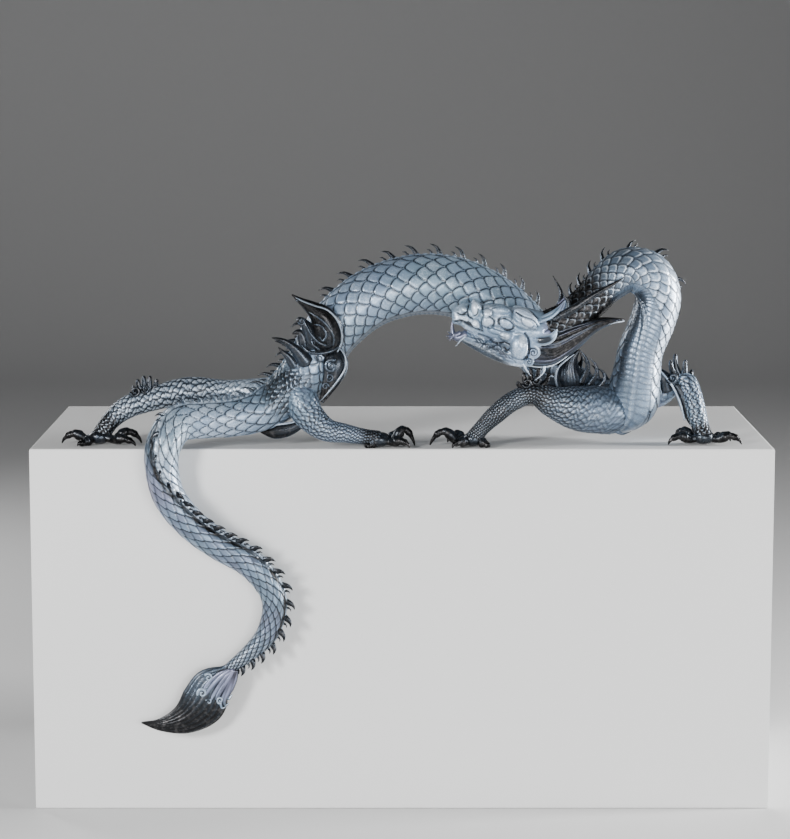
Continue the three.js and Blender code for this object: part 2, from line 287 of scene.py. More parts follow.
class Finish:
    """A new material with its output and its main shader."""

    def __init__(self, name):
        self.material = bpy.data.materials.new(name)
        self.material.use_nodes = True
        self.tree = self.material.node_tree
        self.shader = self.tree.nodes["Principled BSDF"]

    def node(self, kind, settings=None, inputs=None, output=0):
        node = self.tree.nodes.new(kind)
        for key, value in (settings or {}).items():
            setattr(node, key, value)
        for key, value in (inputs or {}).items():
            if isinstance(value, Value):
                self.tree.links.new(value.socket, node.inputs[key])
            else:
                node.inputs[key].default_value = value
        return Value(self.tree, node.outputs[output])

    def noise(self, scale, detail=3.0, roughness=0.5):
        place = self.node("ShaderNodeTexCoord", output="Object")
        inputs = {"Vector": place, "Scale": scale, "Detail": detail, "Roughness": roughness}
        return self.node("ShaderNodeTexNoise", inputs=inputs, output="Fac")

    def attribute(self, name):
        return self.node("ShaderNodeAttribute", {"attribute_name": name}, output="Fac")

    def blend(self, share, low, high):
        colours = {"Factor": share, 6: low, 7: high}
        return self.node("ShaderNodeMix", {"data_type": "RGBA"}, colours, output=2)

    def set(self, **inputs):
        for key, value in inputs.items():
            entry = self.shader.inputs[key.replace("_", " ")]
            if isinstance(value, Value):
                self.tree.links.new(value.socket, entry)
            else:
                entry.default_value = value


print("sums of sockets are wrapped by", Value.__name__, "and kept by", Finish.__name__)

# %% [markdown]
# ## The casting's finish
# The real surface has three coats. Dark bronze comes first, a pale blue-grey enamel is laid over it,
# and the enamel is then wiped out of the carved lines and off the claws, spines and hair tips. The
# three painted numbers say where each coat shows, and soft noise keeps the enamel from looking flat.
# The same numbers also paint light and shade: bronze and line colour for painted shade, pale enamel
# for painted highlights. A painted image could hold this too, but numbers on the vertices need no
# unwrapping.

# %% Enamel over bronze
ENAMEL = (0.235, 0.335, 0.475, 1)
ENAMEL_GREEN = (0.20, 0.31, 0.37, 1)
ENAMEL_LILAC = (0.34, 0.34, 0.52, 1)
# pale enamel, for lighter scales and for painted highlights
ENAMEL_PALE = (0.68, 0.79, 0.92, 1)
# line colour, for the carved lines and for painted shade in creases and under overlapping edges
LINE = (0.012, 0.020, 0.032, 1)
BRONZE = (0.017, 0.017, 0.018, 1)
BRONZE_WORN = (0.125, 0.12, 0.12, 1)


def casting_finish():
    finish = Finish("enamel_over_bronze")
    dark = finish.attribute("dark")
    groove = finish.attribute("groove")
    tint = finish.attribute("tint")
    clouds = finish.noise(14, 3, 0.55)
    speckle = finish.noise(260, 4, 0.6)
    grit = finish.noise(900, 3, 0.6)
    colour = finish.blend(((clouds - 0.5) * 4.0).clamped() * 0.7, ENAMEL, ENAMEL_GREEN)
    colour = finish.blend(((tint - 0.55) * 1.6 + (0.45 - clouds) * 2.5).clamped(), colour, ENAMEL_LILAC)
    grain = (speckle - 0.5) * 0.9 + (grit - 0.5) * 2.0
    # low tint turns the enamel pale: lighter scales and painted highlights
    colour = finish.blend(((0.47 - tint) * 1.2 + grain).clamped(), colour, ENAMEL_PALE)
    # groove darkens towards the line colour: carved lines and painted shade
    lines = (groove * 1.35 + (speckle - 0.5) * 0.3 * groove).clamped()
    colour = finish.blend(lines, colour, LINE)
    bronze = finish.blend(((speckle - 0.5) * 2.4).clamped(), BRONZE, BRONZE_WORN)
    # dark shows bronze: bare metal and also painted shade
    bare = (dark + (speckle - 0.5) * 0.5 * dark * (1 - dark) * 4).clamped()
    colour = finish.blend(bare, colour, bronze)
    rough = 0.33 + groove * 0.3 - bare * 0.06 + (speckle - 0.5) * 0.2
    bump = finish.node(
        "ShaderNodeBump",
        inputs={"Strength": 0.6, "Distance": 0.0007, "Height": grit * 0.4 + speckle * 0.6},
    )
    finish.set(Base_Color=colour, Roughness=rough, Metallic=0.38 + bare * 0.55, Normal=bump)
    finish.set(Coat_Roughness=0.14, Coat_Weight=0.5 - bare * 0.45, Coat_IOR=1.5)
    return finish.material


CASTING = casting_finish()
print("finish", CASTING.name, "has", len(CASTING.node_tree.nodes), "nodes")

# %% [markdown]
# ## Body scales
# Each scale's free edge points to the tail and lies over the roots of the two scales behind it.
# Instead of placing a thousand scales by hand, the skin is a fine tube, and a formula finds for each
# of its points which scale lies on top there. The scale rises towards its free edge, and just beyond
# the edge there is a dark line, with painted shade spreading a little further onto the scale beneath.

# %% The scale formula
SCALES_ROUND = 11
ROW_SHARE = 0.30  # distance between two rows of scales, as a share of the body's radius
LONGER_ON_TAIL = 0.22  # added to that share on the tail
ASIDE = 0.02  # a small step across a scale, to measure the slope of its edge
LINE_WIDTH = 1.05  # of the dark line round a scale, in squares
POINTS_PER_ROW = 8
SHUFFLE = np.random.default_rng(7).random((997,))  # the same random numbers in every run


def smooth(low, high, value):
    share = np.clip((value - low) / (high - low), 0, 1)
    return share * share * (3 - 2 * share)


def bell(value, width):
    return np.exp(-(value / width) ** 2)


def scale_length(off_centre, point):
    """Rows that a scale reaches over, from its middle line out. point 0 is round, 1 is pointed."""
    taper = np.clip(1 - np.abs(2 * off_centre) ** (1.9 - 0.7 * point), 0, 1)
    return 1 + 1.2 * taper ** (0.7 + 0.25 * point)


def scale_pattern(row, column, around, spread, point, line=0.16, lopsided=0.0):
    """Height, groove, tint and lit edge of overlapping scales. Rows count from head to tail.

    spread is a row's length over a scale's width, line is the dark line's width in rows, and
    lopsided weakens that line on one half of each scale.
    """
    height = np.zeros_like(row)
    beyond = np.full_like(row, 9.0)
    inside = np.zeros_like(row)
    tint = np.zeros_like(row)
    middle = np.zeros_like(row)
    side = np.zeros_like(row)
    found = np.zeros(row.shape, bool)
    for over in (2, 1, 0):
        root = np.floor(row) - over
        shifted = column - (root % 2) / 2
        off_centre = (shifted + 0.5) % 1 - 0.5
        reach = scale_length(off_centre, point)
        rise = scale_length(off_centre + ASIDE, point) - scale_length(off_centre - ASIDE, point)
        slope = rise / (2 * ASIDE)
        gap = (row - root - reach) / np.sqrt(1 + (slope * spread) ** 2)
        covers = (gap < 0) | (over == 0)
        here = covers & ~found
        lifted = 0.3 + 0.7 * (row - root) / reach + 0.06 * (1 - (2 * off_centre) ** 2)
        height[here] = lifted[here]
        inside[here] = -gap[here]
        middle[here] = 1 - (2 * off_centre[here]) ** 2
        name = (root * 131 + np.floor(shifted + 0.5) % around * 17).astype(int) % len(SHUFFLE)
        tint[here] = 0.3 + 0.3 * SHUFFLE[name[here]]
        nearer = ~covers & ~found & (gap < beyond)
        beyond[nearer] = gap[nearer]
        side[nearer] = off_centre[nearer]
        found |= covers
    # the dark line beyond the free edge, wider painted shade on the scale beneath, and a darker strip just
    # inside the edge
    groove = 1.0 * bell(beyond, line) + 0.2 * bell(beyond, 3 * line) + 0.3 * bell(inside, 0.5 * line)
    # lopsided weakens the line on one half, so the other half keeps it as painted shade
    groove = groove * (1 - lopsided * (1 - smooth(-0.12, 0.04, side)))
    edge = bell(inside - line, 0.55 * line) * middle ** 2
    height = height * (0.85 + 0.15 * smooth(0, 0.15, inside)) - 0.3 * bell(beyond, line)
    return height, np.clip(groove, 0, 1), tint, edge


print("at its middle a scale reaches over", round(float(scale_length(0.0, 1.0)), 2), "rows")


# %% [markdown]
# ## Belly and back
# The belly has no scales but narrow plates across it, with a raised line down the middle. Along the
# back a smooth pale cord runs between the scales and carries the spines. They could be strips of
# their own, but then a seam would show on both sides of each. So both are laid over the scale pattern
# by the angle round the body.

# %% Plates and cord
BELLY_HALF = (0.5, 0.82)  # half of the belly's width under the arch and on the neck, in radians
PLATES_PER_ROW = 1.4
CORD_HALF = 0.11  # half of the cord's width, in radians
MID_LINE_GROOVE = 0.17  # how far from the belly's middle its raised line ends, in radians


def body_skin(row, angle, point, belly_half, line, lopsided):
    """Height, groove, tint, lit edge and belly share round the body, with angle 0 on the back."""
    turn = (angle + math.pi) % (2 * math.pi) - math.pi
    spread = ROW_SHARE * SCALES_ROUND / (2 * math.pi)
    column = turn * SCALES_ROUND / (2 * math.pi) + 0.5
    scales = scale_pattern(row, column, SCALES_ROUND, spread, point, line, lopsided)
    height, groove, tint, edge = scales
    from_belly = math.pi - np.abs(turn)
    belly = 1 - smooth(-0.05, 0.05, from_belly - belly_half)
    bow = row - 0.35 * (from_belly / belly_half) ** 2 + 0.04 * np.sin(from_belly * 11 + row * 2.3)
    plate = (bow * PLATES_PER_ROW) % 1
    plate_height = 0.4 + 0.22 * smooth(0, 0.7, plate) * (1 - smooth(0.85, 1, plate))
    bead = 0.5 + 0.5 * np.cos(bow * PLATES_PER_ROW * 2 * math.pi)
    beside_line = bell(from_belly - MID_LINE_GROOVE, 0.05)
    plate_height += (0.5 + 0.3 * bead) * bell(from_belly, 0.075) - 0.25 * beside_line
    plate_groove = 0.3 * bell(np.minimum(plate, 1 - plate), 0.12)
    plate_groove = np.maximum(plate_groove, 0.22 * beside_line)
    plate_groove = np.maximum(plate_groove, bell(from_belly - belly_half, 0.05) * 0.7)
    # the raised top of each plate and the middle line are painted paler, as highlights
    plate_tint = 0.5 - 0.16 * bell(plate - 0.75, 0.15) - 0.3 * bell(from_belly, 0.05)
    cord = 1 - smooth(CORD_HALF * 0.8, CORD_HALF * 1.3, np.abs(turn))
    beside = bell(np.abs(turn) - CORD_HALF * 1.5, 0.05)
    height = height * (1 - belly) + plate_height * belly
    groove = groove * (1 - belly) + plate_groove * belly
    tint = tint * (1 - belly) + plate_tint * belly
    beads = np.cos(row * 2 * math.pi * 1.5)
    height = height * (1 - cord) + (1.4 + 0.2 * beads) * cord
    groove = np.maximum(groove, beside * 0.7) * (1 - cord) + np.clip(-beads, 0, 1) * 0.45 * cord
    tint = tint * (1 - cord) + 0.2 * cord
    return height, groove, tint, edge * (1 - belly) * (1 - cord), belly


belly_percent = [round(100 * half / math.pi) for half in BELLY_HALF]
print("the belly takes", belly_percent[0], "to", belly_percent[1], "percent of the way round")


# %% [markdown]
# ## The body
# The body hangs from the tail's root at the left, climbs over the plinth's edge, arches, dips to the
# chest and rises again to the neck. The keys run in that order. The belly of the second rise faces
# the viewer, because the body twists at the chest. One long path with a twisting back direction does
# this in one go, where separate tubes would need joints that don't show.

# %% Body keys
BODY_KEYS = [
    [-172, -17, -219, 5.5, 0.65, -0.35, -0.65],
    [-152, -17, -203, 8, 0.65, -0.35, -0.65],
    [-135, -18, -184, 10.5, 0.8, -0.3, -0.45],
    [-127, -18, -158, 12, 1, -0.25, 0],
    [-132, -19, -135, 13, 0.85, -0.3, 0.4],
    [-152, -20, -111, 14, 0.55, -0.4, 0.75],
    [-180, -21, -94, 14.5, 0.45, -0.5, 0.75],
    [-207, -21, -74, 15, 0.6, -0.6, 0.5],
    [-229, -21, -47, 15.5, 0.6, -0.75, 0.2],
    [-237, -21, -18, 16, 0, -1, 0],
    [-235, -20, 7, 17, -0.35, -0.9, 0.3],
    [-222, -9, 26, 18, -0.5, -0.5, 0.75],
    [-197, 3, 29, 18.5, -0.15, -0.4, 0.9],
    [-167, 12, 30, 19, -0.1, -0.35, 0.95],
    [-140, 20, 36, 20.5, -0.3, -0.2, 0.9],
    [-114, 28, 53, 23, -0.6, 0, 0.8],
    [-92, 34, 78, 24.5, -0.75, 0, 0.65],
    [-69, 40, 114, 26.5, -0.75, 0, 0.65],
    [-34, 45, 144, 28, -0.5, 0.05, 0.85],
    [8, 50, 158, 29, -0.1, 0.05, 1],
    [48, 55, 157, 29, 0.1, 0.05, 1],
    [86, 60, 142, 28, 0.45, 0.05, 0.9],
    [118, 64, 116, 27, 0.7, 0, 0.7],
    [143, 66, 85, 26, 0.75, -0.25, 0.6],
    [168, 66, 52, 26, 0.6, -0.4, 0.7],
    [200, 60, 35, 27, 0.25, -0.05, 1],
    [230, 47, 41, 27, 0.25, 0.7, 0.6],
    [235, 37, 67, 24, 0.2, 0.98, 0.2],
    [239, 32, 95, 22, 0.2, 0.98, 0],
    [250, 30, 124, 22, 0.45, 0.88, -0.1],
    [255, 30, 148, 22.5, 0.85, 0.5, 0.1],
    [246, 30, 169, 23, 0.7, 0.3, 0.7],
    [224, 28, 175, 21.5, -0.1, 0.2, 1],
    [203, 23, 162, 19, -0.6, 0.1, 0.8],
    [186, 17, 145, 17.5, -0.65, 0.05, 0.75],
    [166, 11, 129, 17, -0.55, 0, 0.8],
    [144, 8, 119, 17, -0.3, 0, 1],
]
RELIEF = 0.068  # a scale's full height, as a share of the radius
BODY_PATH = Path(BODY_KEYS)


def body_step(radius, share):
    """Distance from ring to ring: a row of scales is longer where the body is thick, and on the tail."""
    return radius * (ROW_SHARE + LONGER_ON_TAIL * (1 - smooth(0.37, 0.45, share))) / POINTS_PER_ROW


body_stations = BODY_PATH.stations(body_step)
print("body rings", len(body_stations))

# %% [markdown]
# ## Skin of the body
# Going from tail to head, the scales change. On the tail they are long and pointed, with the dark
# line heavier on one side and one side of the tail darker, both as painted shade, and a painted
# shadow runs beside the cord. On the arch they are round, and past the chest their free edges carry
# painted highlights. Round the near hip the skin turns into small rough scales. Painted shade darkens
# the neck where it goes in under the mane, its left side, the arch's underside and the body just
# behind the head, and the neck's right side is painted paler as if lit from the right. All of it is
# one formula whose values change along the body. The tube is made in three lengths, which keeps each
# piece light enough.

# %% Body in three lengths
BODY_LENGTHS = [  # where each length ends, as a share of the path, and its points per scale
    (0.37, 10),
    (0.64, 14),
    (1.0, 13),
]
HIP_CENTRE = np.array([-114, 8, 56])
HIP_REACH = (16, 34)  # up to the first distance all hip scales, past the second none
HIP_SCALES = 2  # hip scales across one body scale


def make_length(name, first, last, points_per_scale):
    bench = Bench()

    def skin(station, angle):
        index = first + station.astype(int)
        share = body_stations[index]
        here = BODY_PATH.at(share)
        row = (len(body_stations) - index) / POINTS_PER_ROW
        belly_half = BELLY_HALF[0] + (BELLY_HALF[1] - BELLY_HALF[0]) * smooth(0.64, 0.74, share)
        on_tail = 1 - smooth(0.26, 0.32, share)
        bolder = 1 + 0.35 * on_tail + 0.45 * bell(share - 0.37, 0.05)
        line = LINE_WIDTH * bolder / (body_step(here["radius"], share) * POINTS_PER_ROW)
        pointed = 0.25 + 0.75 * on_tail
        *layers, belly = body_skin(row, angle, pointed, belly_half, line, 0.4 * on_tail)
        outward = here["side"] * np.sin(angle)[:, None] + here["back"] * np.cos(angle)[:, None]
        place = here["centre"] + outward * here["radius"][:, None]
        hip = 1 - smooth(*HIP_REACH, np.linalg.norm(place - HIP_CENTRE, axis=1))
        column = angle * SCALES_ROUND * HIP_SCALES / (2 * math.pi) + 0.4 * np.sin(row * 1.7)
        small = scale_pattern(row * HIP_SCALES * 0.8, column, SCALES_ROUND * HIP_SCALES, 0.5, 0.4)
        mixed = [large + (fine - large) * hip for large, fine in zip(layers, small)]
        turn = (angle + math.pi) % (2 * math.pi) - math.pi
        return share, hip, belly * (1 - hip), outward[:, 0], turn, mixed

    def relief(station, angle):
        share, *_, layers = skin(station, angle)
        return (layers[0] * RELIEF - 0.035) * (1.5 - 0.5 * smooth(0.3, 0.42, share))

    def paint(station, angle):
        share, hip, belly, rightward, turn, (_, groove, tint, edge) = skin(station, angle)
        tail = smooth(0.03, 0.08, share) * (1 - smooth(0.27, 0.31, share))
        # a painted shadow beside the cord on the tail
        shadow_band = tail * bell(turn - 0.32, 0.19)
        # darker at the chest, and painted shade on the body just behind the head
        chest_and_shade_behind_head = bell(share - 0.69, 0.035) + 2 * bell(share - 0.65, 0.015)
        neck = smooth(0.71, 0.76, share) * (1 - smooth(0.84, 0.88, share))
        # painted shade under the mane, under the arch and on the neck's left side
        shade_under_mane = 0.95 * smooth(0.905, 0.95, share) + 0.4 * smooth(0.84, 0.9, share)
        shade_under_arch = 0.45 * belly * (1 - smooth(0.64, 0.74, share))
        shade_left_of_neck = 0.5 * neck * smooth(0.1, 0.9, -rightward)
        by_the_fin = 0.4 * (1 - smooth(0.02, 0.14, share))
        dark = shade_under_mane + shade_under_arch + shade_left_of_neck + by_the_fin
        dark += hip * (0.45 + 0.65 * tint) + 0.35 * chest_and_shade_behind_head + 0.32 * neck * belly + 0.95 * shadow_band
        # on the tail one side is darker as painted shade, the cord is darker, and scales vary at random
        dark += tail * (0.3 * smooth(0.3, 0.8, turn) + 0.5 * bell(turn, 0.14) + 1.3 * (tint - 0.46))
        # painted highlights on the free edges, strong past the chest and weaker under the mane
        crescent_highlight = 0.1 + 1.6 * smooth(0.76, 0.85, share) * (1 - 0.5 * smooth(0.93, 0.96, share))
        groove = groove * (1 - 0.25 * smooth(0.78, 0.86, share))
        # paler on the tail, and paler on the neck's right side as painted light from the right
        paler_tail_and_lit_neck = 0.2 * (1 - smooth(0.34, 0.4, share)) + 0.5 * neck * smooth(0.2, 0.8, rightward)
        tint = tint - paler_tail_and_lit_neck - crescent_highlight * edge + 0.45 * tail * smooth(0.25, 0.6, turn)
        lit = edge * (0.9 - 0.55 * smooth(0.92, 0.95, share)) * (1 - shadow_band)
        return {"groove": groove, "tint": tint, "dark": np.clip(dark, 0, 1) * (1 - lit)}

    sides = SCALES_ROUND * points_per_scale
    bench.tube(BODY_PATH, body_stations[first:last + 1], sides, relief, paint, tip=0.3)
    bench.piece(name, CASTING)


first_ring = 0
for number, (end_share, points_per_scale) in enumerate(BODY_LENGTHS):
    last_ring = int(np.searchsorted(body_stations, end_share, side="right")) - 1
    make_length(f"body_length_{number + 1}", first_ring, last_ring, points_per_scale)
    first_ring = last_ring

# %% [markdown]
# ## A thorn
# Spines, claws of hair, horns and whiskers all run out to a point. A cone would do for each, but they
# bend and their sides carry a pale painted highlight, so a thorn is a short tube through a few points
# whose girth shrinks to almost nothing.

# %% A thorn
TIP_GIRTH = 0.07  # what is left of the girth at the tip


def thorn(bench, points, girth, thick=0.6, back=(0, -1, 0.01), rings=7, sides=8, **look):
    """A pointed tube through points. A high power keeps it thick, and edge paints a pale highlight on its
    sides.
    """
    dark = look.get("dark", (0.9, 1.0))
    edge = look.get("edge", 0.45)
    power = look.get("power", 1.0)
    last = len(points) - 1
    shrink = 1 - TIP_GIRTH
    keys = [[*point, girth * (1 - shrink * (i / last) ** power)] for i, point in enumerate(points)]

    def paint(station, angle):
        share = station / (rings - 1)
        # a pale painted highlight along the sides
        painted_highlight = np.abs(np.sin(angle)) ** 6 * edge
        bare = np.clip(dark[0] + (dark[1] - dark[0]) * share - painted_highlight, 0, 1)
        return {"dark": bare, "tint": look.get("tint", 0.4)}

    bench.tube(Path(keys, back), np.linspace(0, 1, rings), sides, paint=paint, thick=thick, caps=1)


print("a thorn's tip keeps", TIP_GIRTH, "of its girth")

# %% [markdown]
# ## Spines
# A row of hooked spines stands on the cord and leans towards the tail, with a small tooth at the foot
# of each. On the arch they are dark with pale painted highlights on their edges, and on the tail they
# are thicker and dark all over. An array modifier would make them all alike, so a loop sets each one
# from the body's radius there. None may leave the box of the solids, so the box limits the height.

# %% The row of spines
SPINE_STEP = (9, 0.34)  # from spine to spine: so many squares, and this share of the body's radius
SPINE_HEIGHT = (5.2, 0.22)  # the same for the height
SPINE_REACH = 1.12  # how far a spine's tip stands off the back, as a share of its height
SPINE_FRAME = ("centre", "along", "back", "side", "radius")
BOX_MARGIN = 1.0  # squares


def make_spines():
    bench = Bench()
    box_top = (solid_box[1][2] - GRID_ORIGIN[2]) / SQUARE - BOX_MARGIN
    box_front = (solid_box[0][1] - GRID_ORIGIN[1]) / SQUARE + BOX_MARGIN
    shares = BODY_PATH.stations(lambda radius, share: SPINE_STEP[0] + SPINE_STEP[1] * radius)[1:-2]
    here = BODY_PATH.at(shares)
    for number, share in enumerate(shares):
        centre, along, back, side, radius = (here[key][number] for key in SPINE_FRAME)
        foot = centre + back * radius * 0.93
        room = min((box_top - foot[2]) / max(back[2], 0.1), (foot[1] - box_front) / max(-back[1], 0.1))
        height = min(SPINE_HEIGHT[0] + SPINE_HEIGHT[1] * radius, room / SPINE_REACH)
        points = [
            foot + along * height * 0.1,
            foot + back * height * 0.5 - along * height * 0.12,
            foot + back * height * 0.95 - along * height * 0.45,
            foot + back * height * SPINE_REACH - along * height * 1.0,
        ]
        on_tail = 1 - smooth(0.27, 0.31, share)
        dark = 0.95 - 0.4 * bell(share - 0.35, 0.04)
        # the tail's spines get less painted highlight on their edges
        painted_highlight = 0.4 - 0.32 * on_tail
        look = {"dark": (dark, 1.0), "edge": painted_highlight, "tint": 0.45, "power": 1 + 0.7 * on_tail}
        girth = height * (0.3 + 0.16 * on_tail)
        thorn(bench, points, girth, thick=0.55, back=side, rings=6, sides=8, **look)
        tooth = foot - along * height * 0.75
        small = [
            tooth,
            tooth + back * height * 0.5 - along * height * 0.1,
            tooth + back * height * 0.62 - along * height * 0.5,
        ]
        thorn(bench, small, height * 0.2, thick=0.6, back=side, rings=4, sides=6, **look)
    bench.piece("spines", CASTING)


make_spines()

# %% [markdown]
# ## Legs
# The four legs bend at the knee or elbow and end at the paw. Each is a path again, and its keys run
# from the shoulder or hip down to the wrist.

# %% Leg keys
LEG_KEYS = {
    "near_hind": [
        [-108, 24, 58, 15],
        [-101, 18, 47, 17],
        [-93, 12, 32, 15],
        [-76, 10, 18, 11.5],
        [-56, 10, 14, 9],
        [-38, 11, 10.5, 7.5],
        [-24, 12, 8, 8],
    ],
    "far_hind": [
        [-112, 36, 54, 15],
        [-140, 45, 51, 14],
        [-177, 52, 51, 11],
        [-214, 52, 51.5, 13.5],
        [-247, 48, 45, 12],
        [-275, 43, 36.5, 11],
        [-292, 38, 24, 9],
        [-303, 33, 9.5, 8.5],
    ],
    "near_front": [
        [215, 45, 36, 22],
        [203, 38, 34, 24],
        [175, 28, 37, 22],
        [151, 20, 44, 15.5],
        [131, 15, 53, 10],
        [110, 14, 45.5, 9.5],
        [93, 14, 32, 9],
        [80, 15, 19, 7.5],
        [72, 15, 9, 8],
    ],
    "far_front": [
        [238, 55, 46, 16],
        [258, 58, 48, 14],
        [274, 55, 58, 11],
        [286, 48, 61, 10],
        [292, 42, 49, 9.5],
        [296, 37, 32, 9.5],
        [300, 33, 17.5, 8.5],
        [303, 30, 8.5, 9],
    ],
}
print("legs", ", ".join(LEG_KEYS))

# %% [markdown]
# ## Skin of the legs
# The legs have the same kind of scales as the body, only smaller, and they darken towards the paw.
# The near front leg is nearly black at the elbow, under its tuft. The body's formula is used again.
# On the thick upper leg a relief in proportion would stand out like chain mail, so it is limited.

# %% Legs
LEG_LOOK = {
    # scales round the leg, row distance (least, share of the radius),
    # where the bronze starts to show, how much shows before that, how lilac the leg is,
    # and how dark the elbow is
    "near_hind": (15, (1.5, 0.14), 0.66, 0.12, 0.3, 0.0),
    "far_hind": (11, (0, 0.36), 0.7, 0.0, -0.3, 0.0),
    "near_front": (19, (1.4, 0.13), 0.46, 0.4, 0.1, 0.75),
    "far_front": (11, (0, 0.34), 0.72, 0.08, 0.35, 0.0),
}
LEG_POINTS_PER_ROW = 4
LEG_POINTS_PER_SCALE = 7
LEG_SCALE = {"spread": 0.6, "point": 0.7, "line": 0.26}
LEG_RELIEF = (0.16, 1.2)  # at most this share of the radius, and at most so many squares


def make_leg(name, keys, around, row_distance, bare_from, shade, lilac, elbow):
    bench = Bench()
    path = Path(keys, back=(0, -1, 0.3))
    least, share_of_radius = row_distance

    def step(radius, share):
        return (least + share_of_radius * radius) / LEG_POINTS_PER_ROW

    stations = path.stations(step)

    def skin(station, angle):
        row = station / LEG_POINTS_PER_ROW
        column = angle / (2 * math.pi) * around + 0.3 * np.sin(row * 1.1) + 0.2 * np.sin(row * 2.7)
        return scale_pattern(row, column, around, **LEG_SCALE)

    def paint(station, angle):
        _, groove, tint, edge = skin(station, angle)
        share = stations[station.astype(int)]
        bare = smooth(bare_from, bare_from + 0.3, share)
        dark = shade + bare * (0.3 + 0.8 * tint) + smooth(0.75, 0.98, share)
        dark = np.clip(dark + elbow * bell(share - 0.49, 0.07), 0, 1)
        lower = smooth(0.15, 0.42, share)
        # the lit edges of the scales are painted paler and less dark, as highlights, most on the lower leg
        edge = edge * (0.3 + 0.7 * lower)
        groove = groove * (0.5 + 0.5 * lower)
        return {"groove": groove, "tint": tint + lilac - 1.2 * edge, "dark": dark * (1 - 0.7 * edge)}

    def relief(station, angle):
        radius = path.at(stations[station.astype(int)])["radius"]
        return (skin(station, angle)[0] - 0.5) * np.minimum(LEG_RELIEF[0], LEG_RELIEF[1] / radius)

    bench.tube(path, stations, around * LEG_POINTS_PER_SCALE, relief, paint)
    bench.piece(name + "_leg", CASTING)


for leg_name, leg_keys in LEG_KEYS.items():
    make_leg(leg_name, leg_keys, *LEG_LOOK[leg_name])

# %% [markdown]
# ## Paws
# Each paw has four toes that rise to a knuckle and come down on a curved claw. They are almost bare
# bronze. Folds of skin cross the toes, and the claws are smooth and glossy. Toe and claw are one
# path, and a step in its relief parts them.

# %% Toes and claws
PAWS = {
    "near_hind": {"palm": [-22, 13], "toes": [[8, 35, 21], [-22, 32, 12], [40, 30, 15], [-150, 17, 8]]},
    "far_hind": {"palm": [-304, 32], "toes": [[178, 38, 15], [2, 42, 17], [-26, 42, 12], [222, 27, 9]]},
    "near_front": {"palm": [72, 17], "toes": [[178, 44, 19], [218, 28, 11], [140, 34, 15], [-40, 20, 9]]},
    "far_front": {"palm": [303, 30], "toes": [[192, 37, 14], [152, 32, 17], [-8, 38, 14], [30, 34, 11]]},
}
PALM_HEIGHT = 7.5
TOE_GIRTH = 4.9
TOE_RINGS = 34
TOE_FOLDS = 9
TOE_PADS = 2.6
CLAW_SHARE = 0.69  # where along the toe the claw starts


def toe_keys(x, y, bearing, reach, knuckle):
    turn = math.radians(bearing)
    aim = (math.cos(turn), math.sin(turn))
    shape = [
        (0.1, PALM_HEIGHT, 1.1),
        (0.38, TOE_GIRTH + 0.6, 0.9),
        (0.62, knuckle - TOE_GIRTH, 0.95),
        (0.8, knuckle - TOE_GIRTH - 1, 0.75),
        (0.94, knuckle * 0.35, 0.45),
        (1, 1, 0.16),
    ]
    back = [-aim[1] * 0.1, aim[0] * 0.1, 1]
    return [[x + aim[0] * reach * s, y + aim[1] * reach * s, z, g * TOE_GIRTH, *back] for s, z, g in shape]


def make_paw(name, palm, toes):
    bench = Bench()
    x, y = palm
    bench.lump((x, y, PALM_HEIGHT), (11, 10, PALM_HEIGHT), dark=0.92)
    for bearing, reach, knuckle in toes:
        path = Path(toe_keys(x, y, bearing, reach, knuckle))

        def relief(station, angle):
            share = station / (TOE_RINGS - 1)
            turns = share * 2 * math.pi
            folds = 0.07 * np.cos(turns * TOE_FOLDS) * (1 - smooth(CLAW_SHARE - 0.06, CLAW_SHARE, share))
            pads = 0.17 * np.cos(turns * TOE_PADS + 1) * (1 - smooth(CLAW_SHARE - 0.05, CLAW_SHARE, share))
            nail = -0.16 * smooth(CLAW_SHARE, CLAW_SHARE + 0.03, share)
            return folds * np.clip(np.cos(angle) + 0.6, 0, 1) + pads + nail

        def paint(station, angle):
            share = station / (TOE_RINGS - 1)
            lines = np.clip(-np.cos(share * 2 * math.pi * TOE_FOLDS), 0, 1) * (share < CLAW_SHARE)
            pale = 0.22 * (1 - smooth(0.1, CLAW_SHARE, share)) * np.clip(np.cos(angle), 0, 1)
            return {"dark": 1 - pale, "groove": lines * 0.5}

        bench.tube(path, np.linspace(0, 1, TOE_RINGS), 14, relief, paint, caps=2)
    bench.piece(name + "_paw", CASTING)


for paw_name, paw in PAWS.items():
    make_paw(paw_name, **paw)

# %% [markdown]
# ## Leaves and flames
# The hips, shoulders and knees carry flames: pointed leaves with a hollow face, combed lines and a
# thin rim painted pale as a highlight. A sheet with a solidify modifier could be one, but its edge
# would be square. A flattened tube whose face is pushed in has the round edge of a casting. A coiled
# ridge makes the curls between the leaves.

# %% A leaf and a curl
NEAR_FACE = (0, -1, 0.01)  # towards the viewer
FAR_FACE = (0, 1, 0.01)
CURL_KEYS = 14
CURL_RINGS = 44


def leaf(bench, keys, thick, cup, dark, rim, lines=12, rings=36, sides=40, back=NEAR_FACE):
    """A cupped leaf along [x, y, z, half width] keys, with combed lines on its face."""

    def comb(station, angle):
        share = station / (rings - 1)
        return np.cos(np.sin(angle) * lines + 2.5 * np.sin(share * 4)), share

    def relief(station, angle):
        wave, share = comb(station, angle)
        return wave * 0.05 * np.clip(np.cos(angle), 0, 1)

    def paint(station, angle):
        wave, share = comb(station, angle)
        # a pale painted highlight along the rim
        painted_highlight = np.abs(np.sin(angle)) ** 14 * rim
        return {
            "dark": np.clip(dark + 0.15 * share - painted_highlight, 0, 1),
            "groove": np.clip(-wave, 0, 1) * 0.6 * np.clip(np.cos(angle), 0, 1) * (1 - painted_highlight),
        }

    stations = np.linspace(0, 1, rings)
    bench.tube(Path(keys, back), stations, sides, relief, paint, thick=thick, cup=cup, caps=2)


